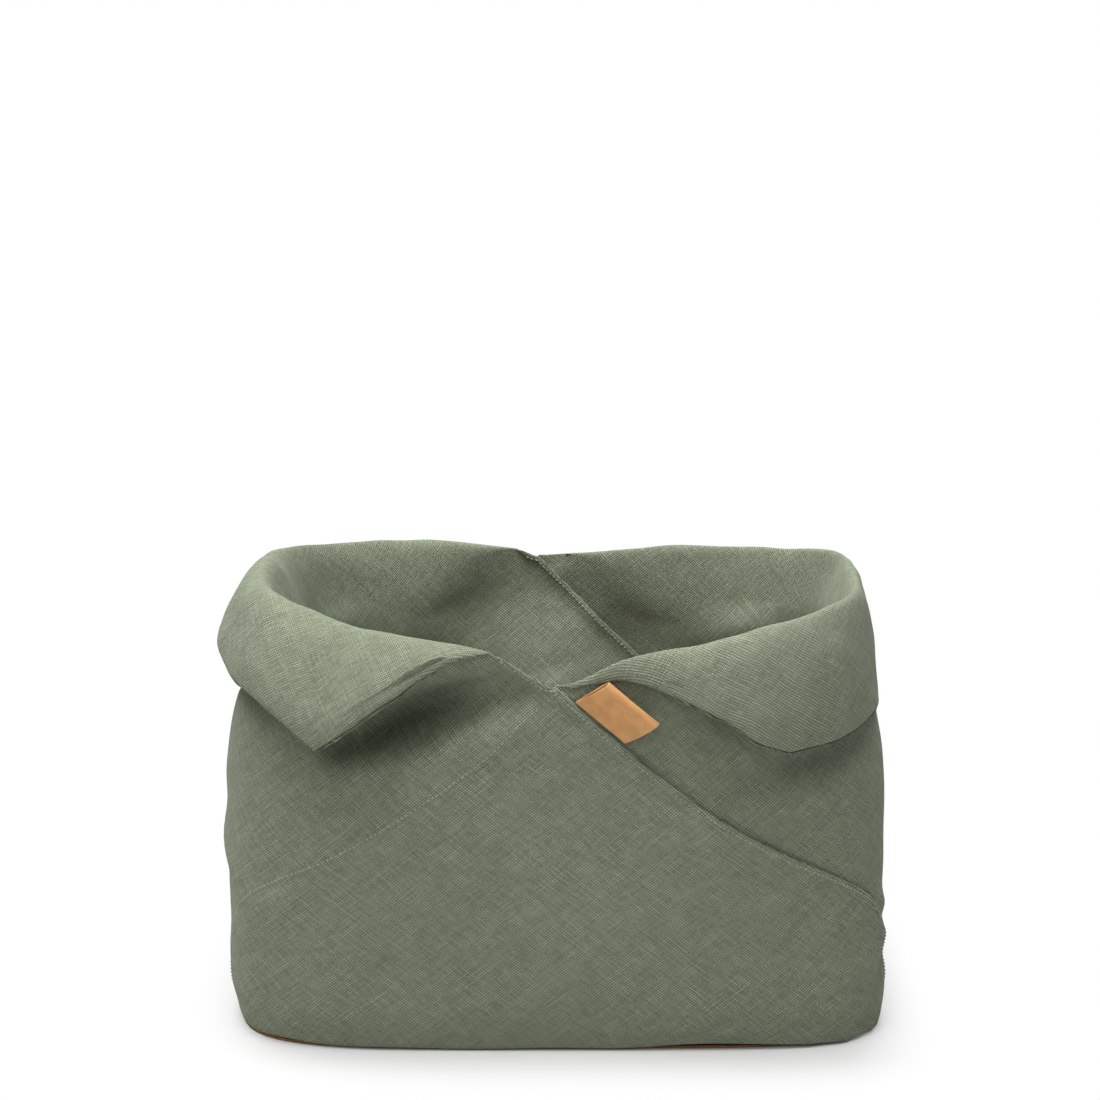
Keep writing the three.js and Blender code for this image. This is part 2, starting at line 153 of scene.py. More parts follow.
FOLD_LIFT = 9
FOLD_OUT = 2
ROLL_DEPTH = 25         # under a full ear the wall ends this far below the rim and rolls over softly
ROLL_LIFT = 54
ROLL_FLARE = 2.5        # the wall opens out by this much on the way, so that it meets the roll upright
ROLL_HEIGHT = 30
ROLL_OVERRUN = 1.2
ROLL_FADE = 35          # degrees from an ear's end to its full roll
FOOT_SAG = 6.0          # the cloth hangs this far over the edge of the board
FOOT_CLEAR = 1.3        # and stays this far above the floor
FOOT_ANGLE = -100       # where its length round the edge is taken
# The loose inner end of the left panel hangs into the bag by this much, at this angle and height
INNER_HANG = 14
INNER_HANG_ANGLE, INNER_HANG_SPREAD = 92, 26
INNER_HANG_FOOT, INNER_HANG_RISE = 70, 60
INNER_HANG_TOP, INNER_HANG_FALL = 207, 72
# Bottom corners: angle, how far the cloth is drawn in, up to which height
BOTTOM_CORNERS = [(-153, 4.2, 60), (-27, -5.0, 75)]
BOTTOM_CORNER_SPREAD = 12
# The cloth over the board's edge: share of the sag, and angle, share and width of the places with less
FOOT_EVEN, FOOT_UNEVEN, FOOT_WAVES = 0.92, 0.08, 9
FOOT_LIFTS = [(-52, 0.42, 18), (-147, 0.25, 5)]
FOOT_SAG_STEP, FOOT_SAG_SPREAD = 1.42, 0.13
EAR_BULGE = 10
EAR_SIDE_BULGE = 0.25   # share of it at the left and right of the bag
EAR_FULL_LENGTH = 60
EAR_FALL = 0.22
EAR_SOFTNESS = 0.9
EAR_LEAN_UP = 0.06
EAR_LEAN_REACH = 2      # the wall's lean is taken from this far below its end
EAR_FLAT_START, EAR_FLAT_FADE = 12, 30

# Uneven swell of the cloth: how far out, length of the waves, seed
WALL_SWELLS = [(1.0, 95, 3), (0.35, 38, 5)]
EAR_SWELLS = [(0.9, 60, 11), (0.35, 24, 12)]
SWELL_FOOT, SWELL_FOOT_FADE, SWELL_TOP_FADE = 8, 22, 18
SWELL_WAVES, SWELL_SUM = 7, 3.2     # waves in one swell, and what their sum is divided by
SWELL_LENGTHS = (0.7, 1.5)          # shares of the length, from and to
EAR_SWELL_FADE, EAR_SWELL_LENGTH = 25, 30

# Hems of a wall
HEM_COLUMNS = np.array([0, 0.0012, 0.0026, 0.0042, 0.006, 0.0085, 0.012, 0.018, 0.026])
HEM_SLANT, RIM_SLANT = 0.72, 0.85   # a hem runs at a slant, so its cloth is narrower than the way round
HEM_END_STEP = 1.2      # below this step of the profile the hem lies under the bag
HEM_FOOT_STEP = 1.35    # the line of a hem ends at this step
HEM_INWARD = 8          # rows or columns from a hem to where its way into the cloth is taken
EAR_HEM_INWARD = 7
EDGE_THIN = 0.5         # share of the thickness at the very edge
EAR_EDGE_FADE, EAR_EDGE_START = 0.8, 0.1
EAR_HEM_LENGTH = 12     # an ear has its full hem where it is longer than this
FAR = 99                # further from a hem than matters
PANEL_COLUMNS = 60
EAR_MARGIN = 0.3        # degrees, at least, from an ear's ends to the next column of its wall
OUTER_START, OUTER_FADE = 15, 20    # degrees from a panel's middle to where it is the outer layer
CLIMB_START, CLIMB_FADE = 20, 30    # heights over which hems begin to show
RIDGE_HEIGHT, RIDGE_PLACE, RIDGE_WIDTH = 0.35, 2.5, 3.0   # over the hidden hem of the inner layer
RIDGE_STEP, RIDGE_STEP_HALF = 0.5, 3                      # down to where no layer is under it
HEM_STAND, HEM_STAND_MORE, INNER_STAND = 1.1, 1.1, 2.2    # how far hems stand off
HEM_STAND_HEIGHT, HEM_STAND_FADE = 80, 60
HEM_STAND_BAND, HEM_STAND_WIDTH = 12, 11

# angle round the bag, how far the throat under the roll is drawn in, how far below the rim it starts
THROAT_STATIONS = [
    (-180, 20, 68), (-165, 15, 66), (-148, 6, 64), (-130, 0, 64), (-70, 0, 64), (-45, 5, 64), (-25, 14, 64),
    (0, 18, 66), (30, 16, 78), (52, 8, 90), (78, 0, 95), (108, 0, 95), (128, 14, 95), (148, 22, 92),
    (165, 23, 80), (180, 20, 68),
]
THROAT_TURN, THROAT_RETURN = 0.58, 0.9   # share of its depth where it opens again, share that opens
THROAT_PAST_RIM = 5

# Soft creases of the walls: start and end as (angle, height), how far out, half width
CREASES = [
    ((-170, 112), (-150, 74), 2.6, 7),
    ((-140, 97), (-153, 60), 3.0, 8),
    ((-160, 82), (-163, 55), -2.6, 9),
    ((-22, 52), (-36, 26), 2.8, 6),
    ((-18, 40), (-27, 22), -2.2, 7),
    ((-24, 74), (-17, 62), 2.2, 6),
    ((-99, 186), (-130, 126), 1.6, 11),
    ((-92, 150), (-82, 128), -3.2, 30),
    ((-106, 197), (-137, 171), -29.0, 15),
    ((-101, 181), (-133, 153), 4.5, 10),
    ((-44, 150), (-62, 126), 1.5, 12),
    ((-150, 150), (-158, 120), -1.2, 16),
    ((126, 196), (112, 160), 4.5, 26),
    ((76, 190), (58, 150), 5.0, 24),
    ((97, 150), (91, 118), -7.0, 27),
    ((38, 200), (48, 150), -3.5, 16),
    ((150, 212), (146, 176), -4.0, 14),
    ((30, 180), (38, 110), 2.2, 18),
    ((-50, 130), (-21, 150), 3.0, 10),
    ((-52, 148), (-26, 166), -2.6, 9),
    ((-66, 128), (-44, 112), 2.0, 11),
    ((-120, 132), (-140, 108), 2.2, 12),
]
CREASE_ENDS = 0.35      # towards its ends a crease fades towards this share of its depth
CREASE_ROUND = 0.05     # and stops fading this close to them, as a share of its length

# Label: a folded strip that stands out from the front hem, with where it starts and its own directions
LABEL_LENGTH = 32.5
LABEL_REACH = 22
LABEL_THICKNESS = 0.8
LABEL_LOOP = 5
LABEL_ROWS, LABEL_COLUMNS = 24, 48
LABEL_END_ROWS = 0.2, 0.6   # the rows next to its ends are this far from them
LABEL_END_SHARE = 0.7       # share of the thickness at its ends
LABEL_BOW = 0.5
LABEL_STRIP = 50            # length of the strip before it is folded
LABEL_ORIGIN = (10.1521, -104.0248, 190.5691)
LABEL_REACH_AXIS = (0.7755, -0.2683, 0.5716)
LABEL_RISE_AXIS = (-0.2001, -0.9630, -0.1805)
LABEL_ALONG_AXIS = (0.7781, -0.0754, -0.6406)

# Two points for each ear, in metres
LEFT_EAR_RAMP = ((-0.075, -0.1085, 0.225), (-0.0722, -0.1322, 0.2131))
RIGHT_EAR_RAMP = ((0.075, -0.1085, 0.223), (0.0722, -0.1322, 0.2111))

# Camera and stage, in metres
CAMERA_PLACE = (-0.0033, -1.36952, 0.56298)
CAMERA_PITCH = 76.93
CAMERA_LENS = 85
CAMERA_SENSOR = 36      # lens and sensor in millimetres, as is usual
LIGHT_AIM = (0, 0, 0.12)
FLOOR_SIZE = 12.0
FLOOR_GREY = 0.68
FLOOR_SHADE = 0.06      # the floor turns white to the eye this far from the bag
FLOOR_SHADE_INSET = 30  # millimetres: measured from this far inside the body's left and right
DOME_LIGHT = 0.10
# name, place, width and depth, power, colour
SOFTBOXES = [
    ("top light", (-0.15, -0.04, 1.5), (1.3, 1.3), 46, (1, 1, 1)),
    ("front light", (-0.5, -1.8, 1.4), (1.2, 1.0), 15, (1, 0.99, 0.97)),
]

# Colours, deep and pale
LINEN = (0.147, 0.170, 0.117, 1), (0.163, 0.183, 0.131, 1)
THREAD = (0.215, 0.235, 0.17, 1), (0.30, 0.325, 0.24, 1)
BOARD_TAN = (0.12, 0.056, 0.023, 1), (0.20, 0.098, 0.041, 1)
LABEL_TAN = (0.44, 0.223, 0.082, 1), (0.56, 0.294, 0.116, 1)

# Linen: how finely each unevenness varies, per millimetre, and its seed
WANDER_FINE, WANDER_SEED, WANDER_REACH = 0.06, 0.0, 1.6
STRAND_FINE, SLUB_FINE = (0.85, 0.08), (1.4, 0.045)     # across and along a thread
WARP_SEED, WEFT_SEED, SLUB_SEED_STEP = 0.0, 4.4, 2.0
SLUB_FROM, SLUB_FULL = 0.68, 0.80
GRAIN_FINE, GRAIN_SEED = 2.4, 1.7
MOTTLE_FINE, MOTTLE_SEED = 0.07, 6.0
CLOUD_FINE, CLOUD_SEED = 0.016, 9.0
# how strongly each makes the cloth lighter or darker, and how far each stands out
STRAND_LIGHT, THREAD_LIGHT, SLUB_LIGHT = 0.40, 0.50, 0.20
GRAIN_LIGHT, MOTTLE_LIGHT, CLOUD_LIGHT = 1.7, 0.10, 0.12
LINEN_LIGHT, LINEN_DARKEST = 1.03, 0.35
THREAD_RELIEF, GRAIN_RELIEF, SLUB_RELIEF = 0.4, 0.3, 0.5
LINEN_RELIEF = 0.0002   # metres

# Thread and paper: how finely each unevenness varies, per metre
THREAD_SPECKLE = 900
PAPER_MOTTLE = 160
PAPER_FIBRE, PAPER_FIBRE_TURN = (300, 2600, 1400), (0.3, 0.2, 0.7)
PAPER_DENTS = 1100


def smoothstep(x):
    x = np.clip(x, 0, 1)
    return x * x * (3 - 2 * x)


def mix(a, b, share):
    return a + (b - a) * share


def unit(v):
    return v / np.maximum(np.linalg.norm(v, axis=-1, keepdims=True), 1e-9)


def levelled(v):
    return unit(v * np.array([1, 1, 0]))


def bell(x, width):
    return np.exp(-((x / width) ** 2))


def spans(*parts):
    """Evenly spaced values over spans of (from, to, count) that follow each other."""
    values = [np.linspace(*part) for part in parts]
    return np.concatenate(values[:1] + [more[1:] for more in values[1:]])


def smooth_curve(xs, ys):
    """Curve through points that never swings past them."""
    xs, ys = np.asarray(xs, float), np.asarray(ys, float)
    slopes = np.diff(ys) / np.diff(xs)
    before, after = slopes[:-1], slopes[1:]
    total = np.where(before + after == 0, 1, before + after)
    inner = np.where(before * after > 0, 2 * before * after / total, 0)
    tangents = np.concatenate([slopes[:1], inner, slopes[-1:]])

    def value(x):
        x = np.asarray(x, float)
        i = np.clip(np.searchsorted(xs, x, side="left") - 1, 0, len(xs) - 2)
        span = xs[i + 1] - xs[i]
        t = np.clip((x - xs[i]) / span, 0, 1)
        return ((2 * t**3 - 3 * t**2 + 1) * ys[i] + (t**3 - 2 * t**2 + t) * span * tangents[i]
                + (3 * t**2 - 2 * t**3) * ys[i + 1] + (t**3 - t**2) * span * tangents[i + 1])

    return value


def stations_curve(stations, column):
    return smooth_curve([row[0] for row in stations], [row[column] for row in stations])


rim_fall = stations_curve(RIM_STATIONS, 1)
rim_draw = stations_curve(RIM_STATIONS, 2)
edge_reach = stations_curve(EDGE_STATIONS, 1)
throat_in = stations_curve(THROAT_STATIONS, 1)
throat_depth = stations_curve(THROAT_STATIONS, 2)


def wrapped(angle):
    return (np.asarray(angle, float) + 180) % 360 - 180


def rim_height(angle):
    return RIM_HEIGHT - RIM_FALL * rim_fall(wrapped(angle))


def profile(step, top):
    """Height and draw-in up the wall: 0 to 1 is the flange, 1 to 2 the rounded edge, 2 to 3 the wall."""
    turn = np.clip(step - 1, 0, 1) * math.pi / 2
    height = WALL_FOOT + BOTTOM_CURVE * (1 - np.cos(turn))
    height = np.where(step > 2, mix(WALL_FOOT + BOTTOM_CURVE, top, step - 2), height)
    inset = BOTTOM_TUCK * (1 - np.sin(turn)) + FLANGE_WIDTH * np.clip(1 - step, 0, 1)
    return height, inset


def plan_point(angle, height, inset):
    power = mix(BASE_SQUARENESS, RIM_SQUARENESS, np.clip(height / RIM_HEIGHT, 0, 1))
    turn = np.radians(angle)
    across = np.abs(np.cos(turn)) / (HALF_WIDTH - inset)
    deep = np.abs(np.sin(turn)) / (HALF_DEPTH - inset)
    radius = (across**power + deep**power) ** (-1 / power)
    return np.stack([radius * np.cos(turn), radius * np.sin(turn), height + 0 * radius], -1)


def wall_point(angle, step, top):
    height, inset = profile(step, top)
    rise = np.clip((height - SHOULDER_HEIGHT) / (rim_height(angle) - SHOULDER_HEIGHT), 0, 1)
    draw_in = RIM_DRAW_IN * rim_draw(wrapped(angle))
    return plan_point(angle, height, inset + draw_in * rise**SHOULDER_POWER)


def wall_normal(angle, step, top):
    nudge = 0.02
    along = wall_point(angle + nudge, step, top) - wall_point(angle - nudge, step, top)
    low, high = np.maximum(0, step - nudge), np.minimum(3, step + nudge)
    rising = wall_point(angle, high, top) - wall_point(angle, low, top)
    return unit(np.cross(along, rising))


def step_at(angle, height):
    top = rim_height(angle)
    foot = WALL_FOOT + BOTTOM_CURVE
    curve = np.arccos(np.clip(1 - (height - WALL_FOOT) / BOTTOM_CURVE, 0, 1)) / (math.pi / 2)
    return np.where(height < foot, 1 + curve, 2 + (height - foot) / (top - foot)), top


def rolled_top(panel, angle):
    """Height at which the wall hands over to its ear."""
    first, last = panel["ear"]
    share = smoothstep((angle - first) / ROLL_FADE) * smoothstep((last - angle) / ROLL_FADE)
    return rim_height(angle) - ROLL_DEPTH * share, share


def flare(panel, angle, height):
    """How far the top of the wall is drawn in at its throat, and opens out again towards its ear."""
    top, share = rolled_top(panel, angle)
    opened = np.clip((height - top + ROLL_HEIGHT) / ROLL_HEIGHT, 0, ROLL_OVERRUN) ** 2
    depth = throat_depth(wrapped(angle))
    below = height - rim_height(angle)
    throat = smoothstep(2 * (below + depth) / depth)
    opens = THROAT_TURN * depth
    throat = throat * (1 - THROAT_RETURN * smoothstep((below + opens) / (opens + THROAT_PAST_RIM)))
    return ROLL_FLARE * share * rim_draw(wrapped(angle)) * opened - throat_in(wrapped(angle)) * throat


def inner_hang(panel, angle, height):
    """How far the loose inner end of the left panel hangs into the bag at the back."""
    if panel is not LEFT:
        return 0 * height
    swell = smoothstep((height - INNER_HANG_FOOT) / INNER_HANG_RISE)
    swell = swell * smoothstep((INNER_HANG_TOP - height) / INNER_HANG_FALL)
    return INNER_HANG * swell * bell(wrapped(angle) - INNER_HANG_ANGLE, INNER_HANG_SPREAD)


def corner_tuck(angle, height):
    """The cloth draws in over one bottom corner, where the board shows, and is fuller at the other."""
    total = 0
    for place, inward, top in BOTTOM_CORNERS:
        near = bell(wrapped(angle - place), BOTTOM_CORNER_SPREAD)
        total = total + inward * near * np.clip(1 - height / top, 0, 1) ** 2
    return total


def foot_sag(angle, step):
    """How far the cloth hangs down over the board's edge, less where the edge shows."""
    share = FOOT_EVEN + FOOT_UNEVEN * np.sin(np.radians(angle) * FOOT_WAVES)
    for place, less, width in FOOT_LIFTS:
        share = share - less * bell(wrapped(angle - place), width)
    return FOOT_SAG * share * bell(step - FOOT_SAG_STEP, FOOT_SAG_SPREAD)


# Length of cloth round the bottom edge, near the middle of the front
FOOT_STEPS = np.linspace(1, 2, 201)
FOOT_HEIGHTS, FOOT_INSETS = profile(FOOT_STEPS, RIM_HEIGHT)
FOOT_HEIGHTS = np.maximum(FOOT_HEIGHTS - foot_sag(FOOT_ANGLE, FOOT_STEPS), FOOT_CLEAR)
FOOT_LENGTHS = np.concatenate([[0], np.cumsum(np.hypot(np.diff(FOOT_HEIGHTS), np.diff(FOOT_INSETS)))])


def cloth_rise(step, height):
    """Length of cloth from the flange's inner edge up to here."""
    turn = np.interp(step, FOOT_STEPS, FOOT_LENGTHS)
    return FLANGE_WIDTH * np.clip(step, 0, 1) + turn + np.maximum(0, height - WALL_FOOT - BOTTOM_CURVE)


# Distance round the bag at a middle height, which the weave and the creases are laid out on
ROUND_COUNT, ROUND_HEIGHT = 1441, 100.0
ROUND_ANGLES = np.linspace(-180, 180, ROUND_COUNT)
ROUND_POINTS = plan_point(ROUND_ANGLES, np.full(ROUND_COUNT, ROUND_HEIGHT), np.zeros(ROUND_COUNT))
ROUND_LENGTHS = np.concatenate([[0], np.cumsum(np.linalg.norm(np.diff(ROUND_POINTS, axis=0), axis=1))])
ROUND_LENGTH = ROUND_LENGTHS[-1]
ROUND_LENGTHS = ROUND_LENGTHS - np.interp(-90, ROUND_ANGLES, ROUND_LENGTHS)


def round_length(angle):
    """Millimetres round the bag from the middle of the front, going on past a full turn."""
    angle = np.asarray(angle, float)
    turns = np.floor((angle + 180) / 360)
    return np.interp(angle - 360 * turns, ROUND_ANGLES, ROUND_LENGTHS) + turns * ROUND_LENGTH


def soft_waves(points, length, seed):
    """Gentle uneven swell, about -1 to 1, with waves of about that length."""
    random = np.random.default_rng(seed)
    total = np.zeros(points.shape[:-1])
    for _ in range(SWELL_WAVES):
        direction = unit(random.normal(size=3))
        wave = 2 * math.pi / (length * random.uniform(*SWELL_LENGTHS))
        total += np.sin(points @ direction * wave + random.uniform(0, 2 * math.pi))
    return total / SWELL_SUM


def swell_of(points, swells):
    return sum(out * soft_waves(points, length, seed) for out, length, seed in swells)


def sag(angle, height, points, top):
    """How far the worn cloth stands out from the plain wall, in millimetres."""
    here = np.stack([round_length(wrapped(angle)), height], -1)
    total = swell_of(points, WALL_SWELLS)
    for (angle_a, height_a), (angle_b, height_b), out, width in CREASES:
        start = np.array([float(round_length(angle_a)), height_a])
        end = np.array([float(round_length(angle_b)), height_b])
        line = end - start
        share = np.clip(((here - start) @ line) / (line @ line), 0, 1)
        away = np.linalg.norm(here - start - share[..., None] * line, axis=-1)
        taper = mix(CREASE_ENDS, 1, np.sin(math.pi * np.clip(share, CREASE_ROUND, 1 - CREASE_ROUND)))
        total += out * taper * bell(away, width)
    fade = smoothstep((height - SWELL_FOOT) / SWELL_FOOT_FADE)
    return total * (fade * smoothstep((top - height) / SWELL_TOP_FADE))


def panel_edge(panel, end, height):
    crossing = panel[end]
    share = np.clip((height - WALL_FOOT) / (rim_height(crossing) - WALL_FOOT), 0, 1)
    reach = edge_reach(share)
    return crossing + reach if end == "to" else crossing - reach


def panel_layer(panel, angle):
    turn = (wrapped(angle - panel["middle"]) + TURN_BAND) / (2 * TURN_BAND)
    return LAYER * (2 * smoothstep(turn) - 1)


# Meshes are lists of (points in millimetres, faces, weave coordinates), joined into one object
def sheet_shell(outside, inside, weave):
    """Closed sheet between two grids of points. Faces look out from the outside grid."""
    rows, columns = outside.shape[:2]
    index = np.arange(rows * columns).reshape(rows, columns)
    back = index + rows * columns

    def quads(a, b, c, d):
        return np.stack([a, b, c, d], -1).reshape(-1, 4)

    faces = [
        quads(index[:-1, :-1], index[:-1, 1:], index[1:, 1:], index[1:, :-1]),
        quads(back[:-1, :-1], back[1:, :-1], back[1:, 1:], back[:-1, 1:]),
        quads(back[0, :-1], back[0, 1:], index[0, 1:], index[0, :-1]),
        quads(index[-1, :-1], index[-1, 1:], back[-1, 1:], back[-1, :-1]),
        quads(index[:-1, 0], index[1:, 0], back[1:, 0], back[:-1, 0]),
        quads(back[:-1, -1], back[1:, -1], index[1:, -1], index[:-1, -1]),
    ]
    points = np.concatenate([outside.reshape(-1, 3), inside.reshape(-1, 3)])
    flat = weave.reshape(-1, 2)
    return points, np.concatenate(faces), np.concatenate([flat, flat])


def new_object(name, data):
    thing = bpy.data.objects.new(name, data)
    bpy.context.scene.collection.objects.link(thing)
    return thing


def mesh_object(name, shells, material, sharp_points):
    """One object of all shells. Edges between two of the sharp points stay sharp."""
    points, faces, weave, start = [], [], [], 0
    for shell_points, shell_faces, shell_weave in shells:
        points.append(shell_points)
        faces.append(shell_faces + start)
        weave.append(shell_weave)
        start += len(shell_points)
    points = np.concatenate(points) * MM
    faces = np.concatenate(faces)
    weave = np.concatenate(weave)
    mesh = bpy.data.meshes.new(name)
    mesh.from_pydata(points.tolist(), [], faces.tolist())
    layer = mesh.uv_layers.new(name="weave")
    corner = np.empty(len(mesh.loops), np.int32)
    mesh.loops.foreach_get("vertex_index", corner)
    layer.data.foreach_set("uv", weave[corner].astype(np.float32).ravel())
    mesh.polygons.foreach_set("use_smooth", np.ones(len(mesh.polygons), bool))
    marked = np.zeros(len(points), bool)
    marked[sharp_points] = True
    ends = np.empty(2 * len(mesh.edges), np.int32)
    mesh.edges.foreach_get("vertices", ends)
    mesh.edges.foreach_set("use_edge_sharp", marked[ends].reshape(-1, 2).all(1))
    mesh.update()
    mesh.materials.append(material)
    return new_object(name, mesh)


def grid_normals(points):
    down = np.gradient(points, axis=0)
    along = np.gradient(points, axis=1)
    return unit(np.cross(along, down))


def weave_coordinates(along, up):
    """The cloth is cut on the bias and a little stretched, so its threads cross at a slant."""
    turn = math.radians(BIAS)
    return np.stack([along * math.sin(turn) + up * math.cos(turn),
                     along * math.sin(turn) - up * math.cos(turn)], -1)


def into_cloth(points, inner_points):
    """Directions from an edge into the cloth, square to the edge."""
    along = unit(np.gradient(points, axis=0))
    into = inner_points - points
    return unit(into - (into * along).sum(-1, keepdims=True) * along)


def hem_lip(edge, into, normal, depth, weave_edge, past=LIP_REACH, share=None, spread=0.0):
    """The turned-under side of a hem, which shows as a second edge just past the first.
    Where share is below 1 the lip is narrower in proportion."""
    across = np.concatenate([np.linspace(-past, LIP_OUTER_END, LIP_OUTER_ROWS), LIP_INNER_ROWS])
    share = np.ones(len(edge)) if share is None else share
    number = np.arange(len(edge))
    wobble = sum(far * np.sin((number + start) * fast) for far, fast, start in LIP_WAVES)
    reach = across[:, None] - np.where(across < 0, 1, 0)[:, None] * wobble[None, :] * LIP_UNEVEN
    reach = reach * share[None]
    apart = depth + spread * LIP_CURL
    middle = edge[None] + into[None] * reach[..., None] + normal[None] * apart[:, None, None]
    half = (LIP_THICKNESS * LIP_TAPER / 2)[:, None, None] * normal[None]
    weave = weave_edge[None] + LIP_WEAVE * across[:, None, None]
    return middle + half, middle - half, weave


# Rows of a wall, in steps of its profile, closer together at the foot and at the rim
WALL_STEPS = np.concatenate([[0, 0.35, 0.7], np.linspace(1, 2, 27)[:-1],
                             2 + spans((0, 0.965, 96), (0.965, 1, 9))])
# Rows of an ear from its fold to its hem, as shares
EAR_ROWS = spans((0, 0.9, 34), (0.9, 1, 9))
# Columns of an ear, in stations, closer together round its tip
LEFT_EAR_COLUMNS = spans((EAR_START, 3.6, 50), (3.6, LEFT_EAR_TIP, 9), (LEFT_EAR_TIP, 4.4, 9),
                         (4.4, EAR_END, 92))
RIGHT_EAR_COLUMNS = spans((EAR_START, 4.4, 60), (4.4, RIGHT_EAR_TIP, 9), (RIGHT_EAR_TIP, 6.2, 17),
                          (6.2, EAR_END, 66))


def fold_angles(stations, columns):
    return smooth_curve(range(len(stations)), [row[0] for row in stations])(columns)


def build_wall(panel, ear_angles):
    """One panel from its flange on the board up to the rim, with its hemmed edges."""
    ends = panel["from"], panel["to"]
    near = HEM_COLUMNS * (ends[1] - ends[0])
    lone = np.concatenate([ends[0] + near, ends[1] - near, np.linspace(*ends, PANEL_COLUMNS)[1:-1]])
    ear_from, ear_to = ear_angles.min(), ear_angles.max()
    lone = lone[(lone < ear_from - EAR_MARGIN) | (lone > ear_to + EAR_MARGIN)]
    tops = np.unique(np.round(np.concatenate([lone, ear_angles]), 5))
    steps = WALL_STEPS
    share = ((tops - ends[0]) / (ends[1] - ends[0]))[None, :]
    step = np.repeat(steps[:, None], len(tops), 1)
    top = np.repeat(rolled_top(panel, tops)[0][None, :], len(steps), 0)
    first = panel_edge(panel, "from", profile(steps, rim_height(ends[0]))[0])[:, None]
    last = panel_edge(panel, "to", profile(steps, rim_height(ends[1]))[0])[:, None]
    angle = mix(first, last, share)
    height, _ = profile(step, top)
    plain = wall_point(angle, step, top)
    normal = wall_normal(angle, step, top)

    # distance to the nearest hem, along the cloth
    along = round_length(angle)
    from_start = np.abs(along - round_length(first)) * HEM_SLANT
    from_end = np.abs(round_length(last) - along) * HEM_SLANT
    free = ((tops < ear_from) | (tops > ear_to))[None, :]
    from_top = np.where(free, (top - height) * RIM_SLANT, FAR)
    to_hem = np.minimum(np.minimum(from_start, from_end), from_top)
    to_hem = np.where(step < HEM_END_STEP, FAR * (HEM_END_STEP - step) + to_hem, to_hem)

    out = panel_layer(panel, angle) + sag(angle, height, plain, top)
    # the cloth lies lower where no second layer is under it, and rides over the hidden hem
    other = RIGHT if panel is LEFT else LEFT
    hidden = panel_edge(other, "from", height)
    gone = along - round_length(hidden + (360 if panel is LEFT else 0))
    outer_half = smoothstep((wrapped(angle - panel["middle"]) - OUTER_START) / OUTER_FADE)
    climb = smoothstep((height - CLIMB_START) / CLIMB_FADE)
    ridge = RIDGE_HEIGHT * bell(gone - RIDGE_PLACE, RIDGE_WIDTH)
    ridge = ridge - RIDGE_STEP * (1 - smoothstep((gone + RIDGE_STEP_HALF) / (2 * RIDGE_STEP_HALF)))
    joined = np.where(free, 1, smoothstep((top - height) / SWELL_TOP_FADE))
    out = out + outer_half * climb * joined * ridge
    side = np.sign(panel_layer(panel, angle))
    stand = HEM_STAND + HEM_STAND_MORE * smoothstep((height - HEM_STAND_HEIGHT) / HEM_STAND_FADE)
    stand = np.where(side > 0, stand, INNER_STAND)
    out = out + side * stand * smoothstep((HEM_STAND_BAND - to_hem) / HEM_STAND_WIDTH) * climb
    middle = plain + normal * out[..., None]
    inward = corner_tuck(angle, height) + inner_hang(panel, angle, height)
    middle += levelled(normal) * (flare(panel, angle, height) - inward)[..., None]
    middle[..., 2] -= foot_sag(angle, step)
    lifted = np.maximum(middle[..., 2], FOOT_CLEAR)
    middle[..., 2] = np.where(step > 1, lifted, middle[..., 2])
    thick = CLOTH + HEM_EXTRA * smoothstep((HEM_WIDTH - to_hem) / HEM_FADE)
    thick = thick * mix(EDGE_THIN, 1, smoothstep(to_hem))
    face = grid_normals(middle)
    half = face * (thick / 2)[..., None]
    return {"tops": tops, "middle": middle, "outside": middle + half, "inside": middle - half, "face": face,
            "weave": weave_coordinates(along, cloth_rise(step, height))}


def hem_line(wall, end, free_angle):
    """Points along a panel's hem from where its ear starts, over the crossing and down to the base."""
    column, inner_column = (-1, -1 - HEM_INWARD) if end == "to" else (0, HEM_INWARD)
    tops = wall["tops"]
    rows = np.where(WALL_STEPS >= HEM_FOOT_STEP)[0][::-1]
    side = {key: wall[key][rows, column] for key in ("middle", "face", "weave")}
    picks = np.where(tops > free_angle)[0] if end == "to" else np.where(tops < free_angle)[0][::-1]
    picks = picks[:-1]
    top = {key: wall[key][-1, picks] for key in side}
    line = {key: np.concatenate([top[key], side[key]]) for key in side}
    inner = np.concatenate([wall["middle"][-1 - HEM_INWARD, picks], wall["middle"][rows, inner_column]])
    line["into"] = into_cloth(line["middle"], inner)
    line["crossing"] = len(picks)
    return line


